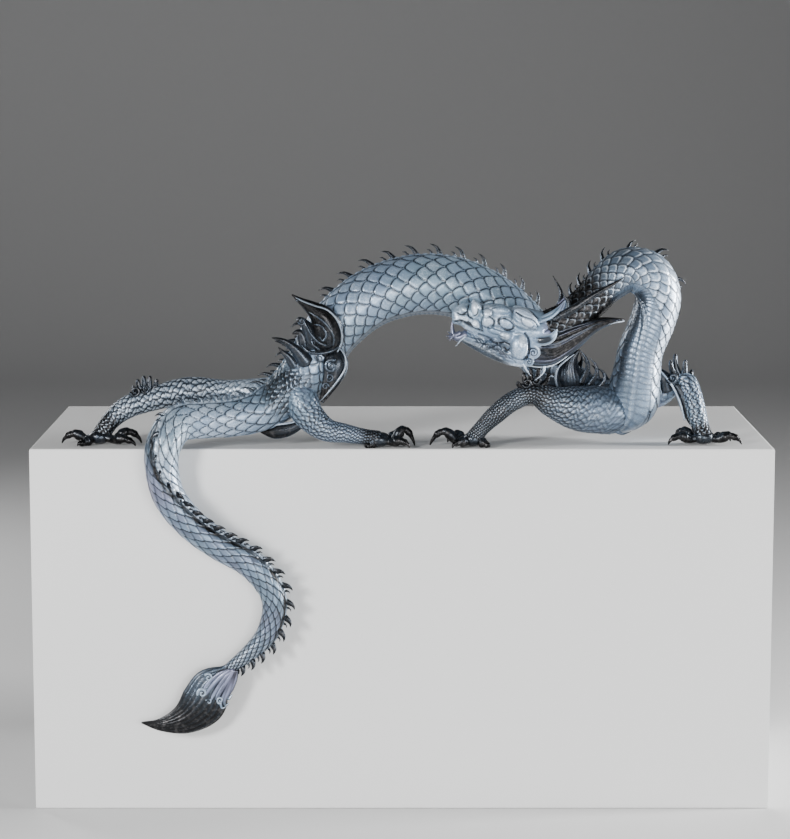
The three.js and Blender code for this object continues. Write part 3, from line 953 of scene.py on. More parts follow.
def mirrored(keys, plane):
    """The same keys on the other side of a plane that is parallel to the plinth's face."""
    return [[key[0], 2 * plane - key[1], *key[2:]] for key in keys]


def lowered(keys, drop):
    return [[key[0], key[1], key[2] - drop, *key[3:]] for key in keys]


def curl(bench, centre, radius, turns, girth, start, way=1, **paints):
    """A coiled ridge in the plane of the drawing, thinner towards its middle."""
    x, y, z = centre
    keys = []
    for share in np.linspace(0, 1, CURL_KEYS):
        turn = math.radians(start) + way * share * turns * 2 * math.pi
        reach = radius * (1 - 0.82 * share)
        place = [x + reach * math.cos(turn), y - 1.2 * share, z + reach * math.sin(turn)]
        keys.append([*place, girth * (1 - 0.55 * share)])
    bench.tube(Path(keys), np.linspace(0, 1, CURL_RINGS), 10, paint=paints, caps=2)


def thin_ridge(bench, keys, rings, **paints):
    """A thin round ridge along [x, y, z, radius] keys."""
    bench.tube(Path(keys), np.linspace(0, 1, rings), 10, paint=paints, caps=2)


print("a leaf faces", NEAR_FACE, "on the near side and", FAR_FACE, "on the far side")

# %% [markdown]
# ## Tufts
# Tufts of hair stand off the joints of all four legs, black with a little pale painted highlight, and
# small curls lie at the roots of the larger ones. Each tuft is a fan of thorns from one root, which is
# enough for hair that was modelled as a few thick locks.

# %% Tufts on the joints
TUFTS = [  # darkness at the root and the tip, pale painted highlight on the sides, then where the locks start and end
    {
        "look": (0.92, 1, 0.4),
        "root": [-256, 44, 47],
        "tips": [[-270, 38, 57], [-266, 42, 63], [-260, 44, 66], [-254, 44, 66], [-247, 42, 63]],
    },
    {
        "look": (1, 1, 0.15),
        "root": [131, 14, 57],
        "tips": [[115, 10, 65], [121, 14, 73], [128, 12, 77], [136, 12, 79], [146, 18, 72]],
    },
    {
        "look": (0.95, 1, 0.4),
        "root": [283, 46, 62],
        "tips": [[270, 42, 82], [275, 46, 88], [285, 44, 82], [292, 48, 72]],
    },
    {
        "look": (0.7, 1, 0.5),
        "root": [-86, 8, 26],
        "tips": [[-74, 3, 31], [-79, 3, 35]],
    },
]
TUFT_GIRTH = 3.9
LOW_THORN = [[214, 40, 13], [222, 38, 9.5], [231, 37, 12]]
TUFT_CURLS = [  # x, y, z, radius, dark
    (-268, 36, 53, 5.5, 0.92),
    (-258, 38, 55, 4.5, 0.92),
    (124, 8, 65, 5, 0.97),
    (134, 9, 68, 4.5, 0.97),
    (272, 38, 66, 5.5, 0.85),
]


def make_tufts():
    bench = Bench()
    for tuft in TUFTS:
        root = np.array(tuft["root"], float)
        first, last, edge = tuft["look"]
        for tip in np.array(tuft["tips"], float):
            spread = np.array([(tip[0] - root[0]) * 0.3, 0, 0])
            points = [root, (root + tip) / 2 + spread, tip, tip + (2.2, 0, -0.8)]
            look = {"dark": (first, last), "edge": edge, "power": 1.3}
            thorn(bench, points, TUFT_GIRTH, thick=0.7, rings=16, sides=12, **look)
    for x, y, z, radius, dark in TUFT_CURLS:
        curl(bench, (x, y, z), radius, 1.3, radius * 0.34, start=200, dark=dark)
    thorn(bench, LOW_THORN, 2.6, rings=14, sides=10, dark=(0.5, 1.0))
    bench.piece("tufts", CASTING)


make_tufts()

# %% [markdown]
# ## Tail fin
# The tail ends in a leaf with deep combed lines, dark grey at its root and black at its tip. Lilac
# locks, with painted highlights on their ends and painted shade between them, hang over its root, with
# a few pale curls between them. A flattened tube gives the leaf, and waves round its section comb it
# lengthwise, which is far lighter than real hair.

# %% The fin
FIN_KEYS = [
    [-170, -17, -217, 5],
    [-176, -17, -224, 9],
    [-191, -17, -237, 19],
    [-200, -17, -256, 23],
    [-218, -17, -271, 16],
    [-241, -17, -277, 7],
    [-261, -17, -275, 0.8],
]
FIN_RINGS = 110
FIN_LINES = 27  # radians of comb from the middle of the fin to its edge
FIN_LOCKS = 9
LOCK_RINGS = 40
FIN_LOCK_LEFT = [(-171, -220), (-182, -224), (-193, -233), (-201, -244), (-201, -251), (-196, -250)]
FIN_LOCK_RIGHT = [(-166, -221), (-167, -230), (-170, -240), (-174, -249), (-173, -253), (-170, -250)]
FIN_LOCK_GIRTH = [2.9, 3.0, 2.6, 2.0, 1.5, 0.8]
FIN_CURLS = [  # x, z, radius, start
    (-199.5, -243.5, 5, 200),
    (-193, -252, 3.6, 260),
    (-181.5, -250.5, 3.6, 280),
    (-193, -227.5, 4, 150),
]


def make_fin():
    bench = Bench()

    def comb(station, angle):
        share = station / (FIN_RINGS - 1)
        return np.cos(np.sin(angle) * FIN_LINES + 2.5 * np.sin(share * 3.6)), share

    def relief(station, angle):
        wave, share = comb(station, angle)
        return wave * 0.05 * smooth(0.05, 0.3, share) * np.abs(np.cos(angle))

    def paint(station, angle):
        wave, share = comb(station, angle)
        # a faint painted highlight on the comb's crests towards the root
        painted_highlight = 0.1 * np.clip(wave, 0, 1) * (1 - share)
        bare = 0.8 + 0.2 * smooth(0.2, 0.62, share + 0.13 * np.sin(angle))
        return {
            "dark": np.clip(bare - painted_highlight, 0, 1),
            "groove": np.clip(-wave, 0, 1) * (0.25 + 0.35 * share) + 0.8 * np.abs(np.sin(angle)) ** 40,
            "tint": 0.5,
        }

    blade = Path(FIN_KEYS, back=(0, -1, 0))
    bench.tube(blade, np.linspace(0, 1, FIN_RINGS), 144, relief, paint, thick=0.28)

    def lock_paint(station, angle):
        share = station / (LOCK_RINGS - 1)
        # each lock's end is painted pale on its front as a highlight, and its sides dark as shade
        tint = 1.0 - 1.3 * np.clip(np.cos(angle), 0, 1) ** 2 * smooth(0.6, 0.95, share)
        dark = 0.2 + 0.5 * SHUFFLE[number + 20] * (1 - share) + 0.25 * np.sin(share * 9 + number * 1.9)
        return {"tint": tint, "groove": np.sin(angle) ** 2, "dark": np.clip(dark, 0, 1)}

    for number in range(FIN_LOCKS):
        across = number / (FIN_LOCKS - 1)
        keys = []
        for step, (left, right) in enumerate(zip(FIN_LOCK_LEFT, FIN_LOCK_RIGHT)):
            x, z = [a + (b - a) * across for a, b in zip(left, right)]
            hang = step * (1.5 * math.sin(across * math.pi) + 0.9 * math.sin(number * 2.2))
            keys.append([x, -20.3 - 0.7 * (number % 2), z - hang, FIN_LOCK_GIRTH[step]])
        bench.tube(Path(keys), np.linspace(0, 1, LOCK_RINGS), 12, paint=lock_paint, caps=2)
    for x, z, radius, start in FIN_CURLS:
        curl(bench, (x, -22, z), radius, 1.3, radius * 0.3, start=start, way=-1, dark=0.1, tint=0.2)
    bench.piece("tail_fin", CASTING)


make_fin()

# %% [markdown]
# ## Flames of the hips
# The near hip wears a large upright ear with a rolled rim and ridges inside it, four spikes to its
# left and a rolled shell with curls down the thigh. They overlap like petals, and every one is a
# leaf or a thin ridge along its own keys.

# %% Hip keys
HIP_PLANE = 40
HIP_EAR = [
    [-74, 15, 88, 11],
    [-75, 10, 103, 17],
    [-75, 8, 118, 17.5],
    [-80, 7, 131, 12.5],
    [-90, 7, 140, 7],
    [-100, 7, 147, 3],
    [-109, 6, 153, 0.7],
]
HIP_SPIKES = [
    [[-94, 12, 84, 9], [-104, 10, 96, 6], [-113, 9, 104, 3.5], [-121, 8, 108, 2.2], [-129, 8, 110, 0.6]],
    [[-96, 14, 90, 6], [-98, 11, 106, 5.5], [-102, 10, 115, 3.5], [-109, 9, 114, 0.7]],
    [[-88, 12, 100, 7], [-92, 9, 116, 6.5], [-98, 8, 126, 4], [-103, 7, 128, 2], [-101, 7, 122, 0.6]],
    [[-106, 14, 80, 6], [-113, 12, 90, 4], [-119, 11, 96, 2], [-123, 11, 100, 0.6]],
]
HIP_RIDGES = [
    [[-98, 3, 129, 0.8], [-94, 1, 122, 1.5], [-89, 0, 113, 1.7], [-82, 1, 106, 1.5], [-75, 2, 103, 1.2]],
    [[-92, 3, 136, 0.7], [-83, 1, 131, 1.3], [-74, 1, 123, 1.5], [-68, 2, 112, 1.2], [-68, 3, 103, 0.8]],
    [[-86, 1, 124, 0.7], [-79, 0, 122, 1.3], [-75, 0, 114, 1.4], [-78, 0, 108, 1.2], [-82, 0, 112, 0.7]],
    [[-100, 7, 103, 0.8], [-93, 4, 97, 1.6], [-82, 3, 95, 1.8], [-71, 4, 97, 1.5], [-63, 6, 101, 0.8]],
    [[-90, 5, 112, 0.7], [-88, 3, 104, 1.4], [-82, 3, 99, 1.2]],
]
HIP_RIM = [
    [-107, 7, 151, 0.6],
    [-98, 6, 146.5, 0.9],
    [-86, 5, 142, 1.0],
    [-74, 5, 138, 1.1],
    [-65, 6, 129, 1.2],
    [-60, 7, 117, 1.2],
    [-60, 8, 105, 1.1],
    [-64, 8, 96, 0.8],
]
THIGH_SHELL = [[-68, 14, 99, 8], [-67, 9, 86, 11.5], [-70, 8, 72, 9], [-75, 8, 60, 5.5], [-81, 9, 47, 1.5]]
THIGH_RIM = [
    [-63, 8, 101, 0.6],
    [-57, 8, 93, 1.1],
    [-55.5, 7, 84, 1.2],
    [-58, 7, 76, 1.2],
    [-64, 7, 67, 1.1],
    [-72, 8, 57, 1.0],
    [-81, 9, 47, 0.6],
]
THIGH_CURLS = [  # x, z, radius, start
    (-70, 82, 7, 60),
    (-76, 62, 3.4, 0),
    (-99, 127, 3.8, 200),
    (-82, 90, 4.4, 90),
    (-72, 71, 4, 240),
]
print("a hip has", 2 + len(HIP_SPIKES), "leaves,", len(HIP_RIDGES), "ridges and two rims")

# %% [markdown]
# ## Both hips
# One function makes both hips from the same keys. The far hip isn't seen. It could be left bare, but
# then the back view would look unfinished, so it has the same flames on its own side, lowered until
# they hide behind the near ones.

# %% Hip flames
FAR_HIP_DROP = 10


def make_hip(name, far):
    bench = Bench()

    def here(keys):
        return lowered(mirrored(keys, HIP_PLANE), FAR_HIP_DROP) if far else keys

    face = FAR_FACE if far else NEAR_FACE
    leaf(bench, here(HIP_EAR), thick=0.26, cup=0.3, dark=0.93, rim=0.3, lines=9, back=face)
    spike_look = {"dark": 0.85, "rim": 0.5, "lines": 7, "rings": 24, "sides": 24}
    for spike in HIP_SPIKES:
        leaf(bench, here(spike), thick=0.5, cup=0.2, back=face, **spike_look)
    for ridge in HIP_RIDGES:
        thin_ridge(bench, here(ridge), 40, dark=0.86)
    for rim in (HIP_RIM, THIGH_RIM):
        # the rims are painted pale, as highlights
        thin_ridge(bench, here(rim), 50, dark=0.55, tint=0)
    leaf(bench, here(THIGH_SHELL), thick=0.3, cup=0.15, dark=0.88, rim=0.2, lines=8, back=face)
    bench.lump(here([[-70, 6, 82]])[0], (5.6, 3, 6.8), dark=0.85)
    for x, z, radius, start in THIGH_CURLS:
        centre = here([[x, 4, z]])[0]
        curl(bench, centre, radius, 1.4, radius * 0.26, start=start, dark=0.8)
    bench.piece(name, CASTING)


make_hip("near_hip_flames", False)
make_hip("far_hip_flames", True)

# %% [markdown]
# ## The smaller flames
# A leaf lies under the belly, a combed fan with three black prongs stands on the near shoulder, and
# two leaves run along the far front leg. Thin pale rims along their edges are painted as highlights.
# The same helpers make them, and only the keys are new.

# %% Flames of the belly and the front legs
BELLY_LEAF = [
    [-98, 18, 24, 4],
    [-113, 18, 17, 7],
    [-127, 18, 14.5, 7.5],
    [-138, 18, 15, 3.5],
    [-144, 18, 16, 0.6],
]
SHOULDER_FAN = [
    [172, 40, 50, 11],
    [169, 36, 64, 14],
    [168, 35, 76, 11],
    [171, 35, 86, 6],
    [178, 35, 95, 0.7],
]
ELBOW_LEAVES = [
    [[268, 46, 52, 10], [264, 44, 64, 8], [259, 43, 72, 4], [255, 43, 77, 0.6]],
    [[276, 42, 58, 6], [283, 40, 48, 7], [287, 38, 34, 6], [292, 36, 20, 3]],
]
SHOULDER_PRONGS = [
    ([[180, 36, 60], [186, 33, 76], [184, 31, 87], [178, 30, 95]], 3.4),
    ([[188, 36, 58], [195, 33, 70], [194, 32, 80], [188, 31, 87]], 3.0),
    ([[197, 36, 55], [203, 34, 63], [203, 34, 71], [198, 33, 76]], 2.5),
]
FLAME_RIMS = [
    [[-100, 12, 27, 0.6], [-113, 12, 24, 1.0], [-127, 12, 22, 1.1], [-140, 13, 17, 0.8]],
    [[157, 32, 54, 0.7], [154, 30, 66, 1.2], [156, 29, 77, 1.2], [164, 29, 85, 1.0], [172, 30, 91, 0.6]],
    [[259, 40, 74, 0.6], [266, 38, 66, 1.1], [274, 37, 54, 1.2], [280, 35, 40, 1.2], [284, 34, 24, 0.8]],
]


def make_other_flames():
    bench = Bench()
    leaf(bench, BELLY_LEAF, thick=0.3, cup=0.25, dark=0.9, rim=0.4)
    leaf(bench, SHOULDER_FAN, thick=0.3, cup=0.3, dark=0.8, rim=0.3, lines=24, sides=80)
    for keys in ELBOW_LEAVES:
        leaf(bench, keys, thick=0.3, cup=0.25, dark=0.85, rim=0.5)
    for rim in FLAME_RIMS:
        # the rims are painted pale, as highlights
        thin_ridge(bench, rim, 40, dark=0.25, tint=0)
    for points, girth in SHOULDER_PRONGS:
        thorn(bench, points, girth, rings=24, sides=14, dark=(0.98, 0.9), edge=0.6, power=1.3)
    bench.piece("leg_flames", CASTING)


make_other_flames()

# %% [markdown]
# ## Fusing the head
# On the real head skull, jaw, nose, cheeks and brows flow into each other. Sculpting by hand can't be
# written down, and a boolean union leaves sharp creases. So plain eggs and tubes are laid into each
# other, and a voxel remesh with a little smoothing melts them together as wax does.

# %% Fusing forms
VOXEL = 0.62  # squares
SMOOTHING_ROUNDS = 3


def fused(bench, voxel, rounds):
    """A new bench whose single form is everything on the old one, melted together."""
    mesh = bpy.data.meshes.new("wax")
    bench.bm.to_mesh(mesh)
    bench.bm.free()
    wax = bpy.data.objects.new("wax", mesh)
    bpy.context.scene.collection.objects.link(wax)
    remesh = wax.modifiers.new("melt", "REMESH")
    remesh.mode = "VOXEL"
    remesh.voxel_size = voxel
    shown = wax.evaluated_get(bpy.context.evaluated_depsgraph_get())
    melted = bpy.data.meshes.new_from_object(shown)
    bpy.data.objects.remove(wax)
    result = Bench()
    result.bm.from_mesh(melted)
    floats = result.bm.verts.layers.float
    result.layers = {name: floats.get(name) or floats.new(name) for name in PAINTS}
    every_way = {"use_axis_x": True, "use_axis_y": True, "use_axis_z": True}
    for _ in range(rounds):
        bmesh.ops.smooth_vert(result.bm, verts=result.bm.verts, factor=0.5, **every_way)
    return result


print("a voxel is", round(VOXEL * SQUARE * 1000, 2), "mm wide")

# %% [markdown]
# ## Carving the head
# Then the fine lines are cut into the fused surface. A line is drawn on the side view, and every
# point of the surface that faces sideways is pushed in or out by its distance to the line. So both
# sides of the head get it, and no knife has to follow the surface. Domes swell a round patch in the
# same way, and ridges and domes can carry a painted highlight.

# %% Carving lines
NEAR_LINE = 6  # squares; further away a line changes nothing


def sampled(points, count=70):
    flat = Path([[x, 0, z, 1] for x, z in points])
    return flat.at(np.linspace(0, 1, count))["centre"][:, (0, 2)]


def distance_to(line, places):
    """Distance in the side view from each place to the nearest sample of a line."""
    near = np.full(len(places), 99.0)
    low = line.min(0) - NEAR_LINE
    high = line.max(0) + NEAR_LINE
    inside = ((places > low) & (places < high)).all(1)
    gaps = places[inside][:, None, :] - line[None, :, :]
    near[inside] = np.sqrt((gaps ** 2).sum(2)).min(1)
    return near


def carve(bench, strokes, domes):
    """Cuts lines and raises ridges and domes on the surfaces that face sideways.

    A stroke is (points, width, depth, strength): cut if its depth is positive, raised if negative.
    The strength darkens a cut and paints a highlight on a ridge. A dome is (centre, radii, lean,
    height, shine), and its shine paints a highlight on it.
    """
    bench.bm.normal_update()
    vertices = list(bench.bm.verts)
    places = np.array([vertex.co[:] for vertex in vertices])
    normals = np.array([vertex.normal[:] for vertex in vertices])
    facing = smooth(0.15, 0.6, np.abs(normals[:, 1]))
    side_view = places[:, (0, 2)]
    push = np.zeros(len(vertices))
    groove = np.zeros(len(vertices))
    painted_shine = np.zeros(len(vertices))
    for points, width, depth, strength in strokes:
        shape = bell(distance_to(sampled(points), side_view), width)
        push -= depth * shape
        if depth > 0:
            groove = np.maximum(groove, strength * shape)
        else:
            painted_shine = np.maximum(painted_shine, strength * shape)
    for (x, z), (wide, tall), lean, height, shine in domes:
        turn = math.radians(lean)
        dx = side_view[:, 0] - x
        dz = side_view[:, 1] - z
        across = (dx * math.cos(turn) + dz * math.sin(turn)) / wide
        up = (dz * math.cos(turn) - dx * math.sin(turn)) / tall
        dome = np.sqrt(np.clip(1 - across ** 2 - up ** 2, 0, 1))
        push += height * dome
        painted_shine = np.maximum(painted_shine, shine * dome)
    moved = places + normals * (push * facing)[:, None]
    for vertex, place in zip(vertices, moved.tolist()):
        vertex.co = place
    # cuts are darkened, and ridges and domes are made paler as painted highlights
    for name, change in (("groove", groove * facing), ("tint", -0.7 * painted_shine * facing * (1 - groove))):
        layer = bench.layers[name]
        for vertex, value in zip(vertices, change.tolist()):
            vertex[layer] += value


def ring(x, z, wide, tall, lean, first=0, last=360):
    """Points of an ellipse on the side view."""
    turn = math.radians(lean)
    points = []
    for angle in np.radians(np.linspace(first, last, 15)):
        across = wide * math.cos(angle)
        up = tall * math.sin(angle)
        aside = across * math.cos(turn) - up * math.sin(turn)
        above = across * math.sin(turn) + up * math.cos(turn)
        points.append((x + aside, z + above))
    return points


def coil(x, z, radius, turns, start, way):
    """Points of a spiral on the side view."""
    points = []
    for share in np.linspace(0, 1, 16):
        angle = math.radians(start) + way * share * turns * 2 * math.pi
        reach = radius * (1 - 0.8 * share)
        points.append((x + reach * math.cos(angle), z + reach * math.sin(angle)))
    return points


print("a ring is drawn with", len(ring(0, 0, 1, 1, 0)), "points")

# %% [markdown]
# ## Forms of the head
# The skull and the jaw are tapering tubes. The eggs run from the nose and lips over the snout, eye,
# brow and cheek to the ear's root and the coils behind the jaw. All lie on the near side and are
# repeated on the far side of the head's middle plane, so that only one half has to be drawn.

# %% Head forms
HEAD_PLANE = 8
SKULL = [
    [152, 111, 20],
    [134, 113, 24],
    [114, 116, 25],
    [94, 123, 19],
    [76, 129, 15.5],
    [62, 132, 12.5],
    [53, 131, 8],
]
JAW = [
    [142, 99, 15],
    [116, 95, 14],
    [96, 97, 10.5],
    [78, 104, 8.5],
    [64, 110, 6.5],
    [56, 112, 4],
]
HEAD_LUMPS = [
    ((57, 3, 131), (8, 7, 6), 0),
    ((54, 2.5, 135), (5, 5, 4.2), 20),
    ((53.5, 2.5, 127.5), (4.2, 5, 3.6), 0),
    ((62, 1, 138.5), (5.5, 5, 3.8), -20),
    ((63.5, -0.5, 131), (5.5, 5, 4.2), 0),
    ((73.5, -2, 139), (5.2, 5.5, 8.5), 12),
    ((72.5, -2, 126.5), (4.5, 5, 4.8), 0),
    ((84, -3.5, 131), (7, 6.5, 9.3), 0),
    ((96, -4, 138.5), (11, 5, 4.2), -6),
    ((93, -6, 119), (9, 5.5, 4.8), -8),
    ((103.6, -6.5, 126.5), (8.6, 3.6, 5.6), -25),
    ((103, -7.5, 114.5), (9, 5.5, 6.5), -15),
    ((115.2, -8, 103.5), (9.4, 8.5, 14), 0),
    ((122.5, -8, 131), (15, 5, 6), -34),
    ((131, -6, 117), (13, 7, 9), -10),
    ((129.5, -6.5, 97.5), (7, 6.5, 7), 0),
    ((125.5, -4.5, 88.5), (5, 6.5, 5), 0),
    ((90, -1, 106), (14, 4.5, 4), 24),
]
HEAD_THORNS = [
    ([[76, -1, 134], [75, -3, 141], [70.5, -4, 148]], 4.5),
    ([[72, -2, 128], [75, -4, 123.5], [77.5, -5, 119]], 3.4),
    ([[131, 0, 122], [144, -2, 129], [154, -3, 137], [158, -3, 143], [161.5, -3, 149]], 9.0),
]


def head_tube(bench, rows, sides, rings, thick):
    keys = [[x, HEAD_PLANE, z, radius] for x, z, radius in rows]
    bench.tube(Path(keys), np.linspace(0, 1, rings), sides, thick=thick)


def both_sides(points):
    return points, [[x, 2 * HEAD_PLANE - y, z] for x, y, z in points]


print(len(HEAD_LUMPS), "eggs and", len(HEAD_THORNS), "thorns on each side of the head")

# %% [markdown]
# ## Lines of the face
# The face is drawn as strokes: the mouth first, then the jaw, the swellings of the snout, the nose,
# the eye, the brow, the cheek's edge and the two coils behind the jaw. A positive depth cuts a dark
# line and a negative one raises a ridge with a painted highlight. Drawn lines are quicker to correct
# than moved vertices. Domes swell the cheek's disc and the bumps of snout, brow and nose, and paint
# highlights on them.

# %% Head lines
MOUTH = [(49, 127), (55, 127), (61, 125.5), (67, 122), (73, 119.5), (78.5, 117.5)]
JAW_EDGE = [(57, 110), (68, 105), (80, 100), (92, 93.5), (104, 86.5), (116, 83), (130, 82.5)]
HEAD_STROKES = [
    (MOUTH, 1.2, 2.4, 1.0),
    ([(57, 128.5), (62, 126.5), (67, 123)], 1.7, 1.2, 1.0),
    ([(50, 129), (57, 129.5), (66, 127.5), (72, 124.5)], 0.9, -1.0, 0.8),
    ([(62, 120.5), (70, 116.5), (77, 112.5), (84, 108)], 1.0, -0.8, 0.4),
    ([(76, 114), (84, 111), (90, 107.8), (95, 105.2)], 0.9, 1.3, 0.7),
    ([(95, 105.2), (100.5, 106.8), (105.6, 104.6), (106.2, 100.6), (103.4, 98.3), (101, 101)], 0.8, 1.5, 1.0),
    ([(98.5, 103), (100, 98), (103.5, 95.2), (107, 95.6)], 0.9, -0.9, 1.0),
    (JAW_EDGE, 1.3, -0.9, 1.0),
    (ring(84, 127.3, 6.8, 5.8, 0, -120, 80), 0.9, 1.4, 0.7),
    (ring(84.4, 136.2, 5.0, 4.4, 0, -50, 110), 0.8, 1.1, 0.55),
    (ring(85, 127.8, 3.4, 2.8, 0, -40, 120), 0.7, -0.6, 1.0),
    ([(79, 143), (79.3, 136), (78, 128), (79, 120)], 0.9, 1.4, 0.75),
    ([(74.5, 140), (74, 135.5), (71, 133)], 0.7, 1.0, 0.8),
    ([(67, 147), (65, 140), (65.5, 134), (69, 130.5)], 0.9, 1.3, 0.9),
    ([(65, 137), (61.5, 135), (58, 134.5), (55, 136)], 0.9, 1.4, 0.9),
    ([(69, 124), (65, 127)], 1.1, 1.4, 0.9),
    (ring(102.2, 125.8, 8.0, 4.9, -28), 0.6, 1.1, 0.75),
    (ring(102.2, 125.8, 8.0, 4.9, -28, 110, 225), 1.0, 0.7, 1.0),
    (ring(102.2, 125.8, 8.0, 4.9, -28, -80, 15), 1.0, 0.7, 1.0),
    (ring(102.2, 125.8, 10.2, 7.2, -25, 0, 180), 1.0, -0.9, 0.6),
    ([(106.8, 143.6), (116.5, 143), (125.5, 139.2), (133.4, 131.2)], 0.7, 1.2, 0.75),
    ([(108, 141.4), (117, 140.8), (125, 136.8), (132, 129.6)], 0.8, -1.0, 0.9),
    ([(111.5, 137.2), (117.6, 133.6), (127.7, 130.1), (133.4, 123.4)], 0.7, 1.2, 0.8),
    ([(111.5, 137.2), (117.6, 133.6)], 1.0, 1.0, 1.0),
    (ring(123, 126.8, 7, 3.4, -32, 180, 360), 0.6, 0.9, 0.6),
    ([(109, 136), (108.5, 128.5), (113, 124), (121, 121.3), (131, 121)], 1.2, 0.9, 0.4),
    ([(122, 91.5), (124.6, 97), (125, 104), (124.5, 111), (121, 116.5)], 0.9, 1.8, 0.9),
    ([(121.6, 95), (122.4, 103), (121.8, 110), (117, 115.5), (111, 115.5)], 1.1, -0.8, 1.2),
    ([(109, 92.5), (113, 90), (119, 89.8), (122.5, 92)], 0.9, 1.4, 0.7),
    (coil(129.3, 97.2, 5.4, 1.5, 150, -1), 0.7, 1.4, 0.9),
    (ring(129.3, 97.2, 6.4, 6.4, 0, -75, 75), 0.8, -0.9, 1.2),
    (coil(125.2, 88, 3.9, 1.4, 150, -1), 0.65, 1.2, 0.9),
    (ring(125.2, 88, 4.7, 4.7, 0, -85, 85), 0.7, -0.8, 1.2),
    ([(88, 141), (97, 143.5), (108, 144)], 0.9, 1.0, 0.6),
    ([(90, 122), (96, 119.5), (104, 118.5), (110, 119)], 0.9, 1.0, 0.4),
    ([(88, 115.5), (95, 114), (101, 112)], 0.9, 0.9, 0.35),
    ([(138, 131), (147, 135), (154, 142), (158, 148)], 0.9, 0.9, 0.5),
    ([(136, 126), (146, 129), (155, 136), (160, 146)], 0.9, 0.9, 0.5),
    ([(140, 118), (148, 122), (156, 128)], 1.0, 1.0, 0.6),
]
JAW_HAIRS = 15
for number in range(JAW_HAIRS):  # combed lines and small hooks along the jaw
    x = 62 + 3.1 * number
    z = 116.5 - 1.75 * number + 1.6 * math.sin(number * 2.1)
    HEAD_STROKES.append(([(x, z), (x + 4.5, z - 1.6), (x + 7, z - 4.6)], 0.5, 0.55, 0.55))
    HEAD_STROKES.append(([(x + 1, z - 5), (x + 5.5, z - 7)], 0.5, -0.45, 0.4))
# a dome's last number is its painted highlight; the second dome is mostly a highlight on the cheek's disc
HEAD_DOMES = [
    ((115.4, 103.5), (8.2, 12.6), 0, 0.9, 0.15),
    ((118.6, 109), (4.6, 7.5), 0, 0.4, 1.3),
    ((71.8, 139.8), (3.6, 8), 10, 1.5, 1.6),
    ((72.6, 124.8), (3.8, 5), 20, 1.3, 1.6),
    ((84, 127.3), (6.2, 5.2), 0, 1.4, 0.8),
    ((84.4, 136.2), (4.6, 4), 0, 1.2, 0.7),
    ((101, 114), (6, 3.6), -15, 0.9, 0.7),
    ((123, 127), (6.4, 2.9), -32, 0.9, 1.4),
    ((55, 133), (4, 3), 20, 0.5, 0.8),
]
print(len(HEAD_STROKES), "strokes and", len(HEAD_DOMES), "domes")

# %% [markdown]
# ## The head put together
# The tubes, eggs and thorns are fused, then painted in soft clouds of lilac, darker under the jaw and
# at the nape, and at last carved. The painting comes first, because the carving adds to it.

# %% The head
def make_head():
    wax = Bench()
    head_tube(wax, SKULL, 40, 40, 0.8)
    head_tube(wax, JAW, 32, 32, 0.95)
    for centre, radii, lean in HEAD_LUMPS:
        for place in both_sides([list(centre)]):
            wax.lump(place[0], radii, lean)
    for points, girth in HEAD_THORNS:
        for place in both_sides(points):
            thorn(wax, place, girth, thick=0.8, rings=16, sides=16, power=0.9)
    bench = fused(wax, VOXEL, SMOOTHING_ROUNDS)
    vertices = list(bench.bm.verts)
    x = np.array([vertex.co.x for vertex in vertices])
    z = np.array([vertex.co.z for vertex in vertices])
    lilac = 0.5 + 0.2 * np.sin(x * 0.21 + z * 0.13) + 0.35 * smooth(128, 150, x)
    lilac -= 0.22 * smooth(119, 127, z) * (1 - smooth(132, 140, x))
    jaw_shade = 0.68 * smooth(118, 104, z) * smooth(112, 99, x)
    nape_shade = 0.9 * smooth(142, 150, x) * smooth(127, 122, z)
    bench.paint(vertices, tint=lilac, dark=nape_shade + jaw_shade, groove=0.0)
    carve(bench, HEAD_STROKES, HEAD_DOMES)
    bench.piece("head", CASTING)


make_head()

# %% [markdown]
# ## Horns
# Black horns sweep back from the brow, with a hooked prong between them. The remesh would blunt
# their points, so everything that stands free of the head is a piece of its own.

# %% Horns
def make_horns():
    bench = Bench()
    horn = [
        [148, -3, 129],
        [160, -4, 135],
        [172, -5, 142.4],
        [188.6, -4, 153.6],
        [208, -1, 164],
        [219, 0, 171],
    ]
    far_horn = [[146, 18, 126], [156, 20, 140], [158, 23, 154], [150, 26, 170]]
    prong = [[163, -3, 138], [163, -4, 147], [158, -4, 156]]
    thorn(bench, horn, 5.2, thick=0.75, rings=40, sides=16, dark=(0.95, 1.0), edge=0.3, power=1.2)
    thorn(bench, mirrored(horn, HEAD_PLANE), 5.2, thick=0.75, rings=40, sides=16, edge=0.3, power=1.2)
    thorn(bench, far_horn, 5.0, rings=30, sides=14, dark=(0.9, 1.0), edge=0.5)
    thorn(bench, prong, 3.6, rings=20, sides=12, dark=(0.9, 1.0), edge=0.6)
    bench.piece("horns", CASTING)


make_horns()

# %% [markdown]
# ## Ears
# The ears are small leaves with rims painted pale as highlights and a dark slit. A cupped tube gives
# the hollow, and the slit is a painted groove, because it is too narrow for the mesh.

# %% Ears
EAR_RINGS = 30


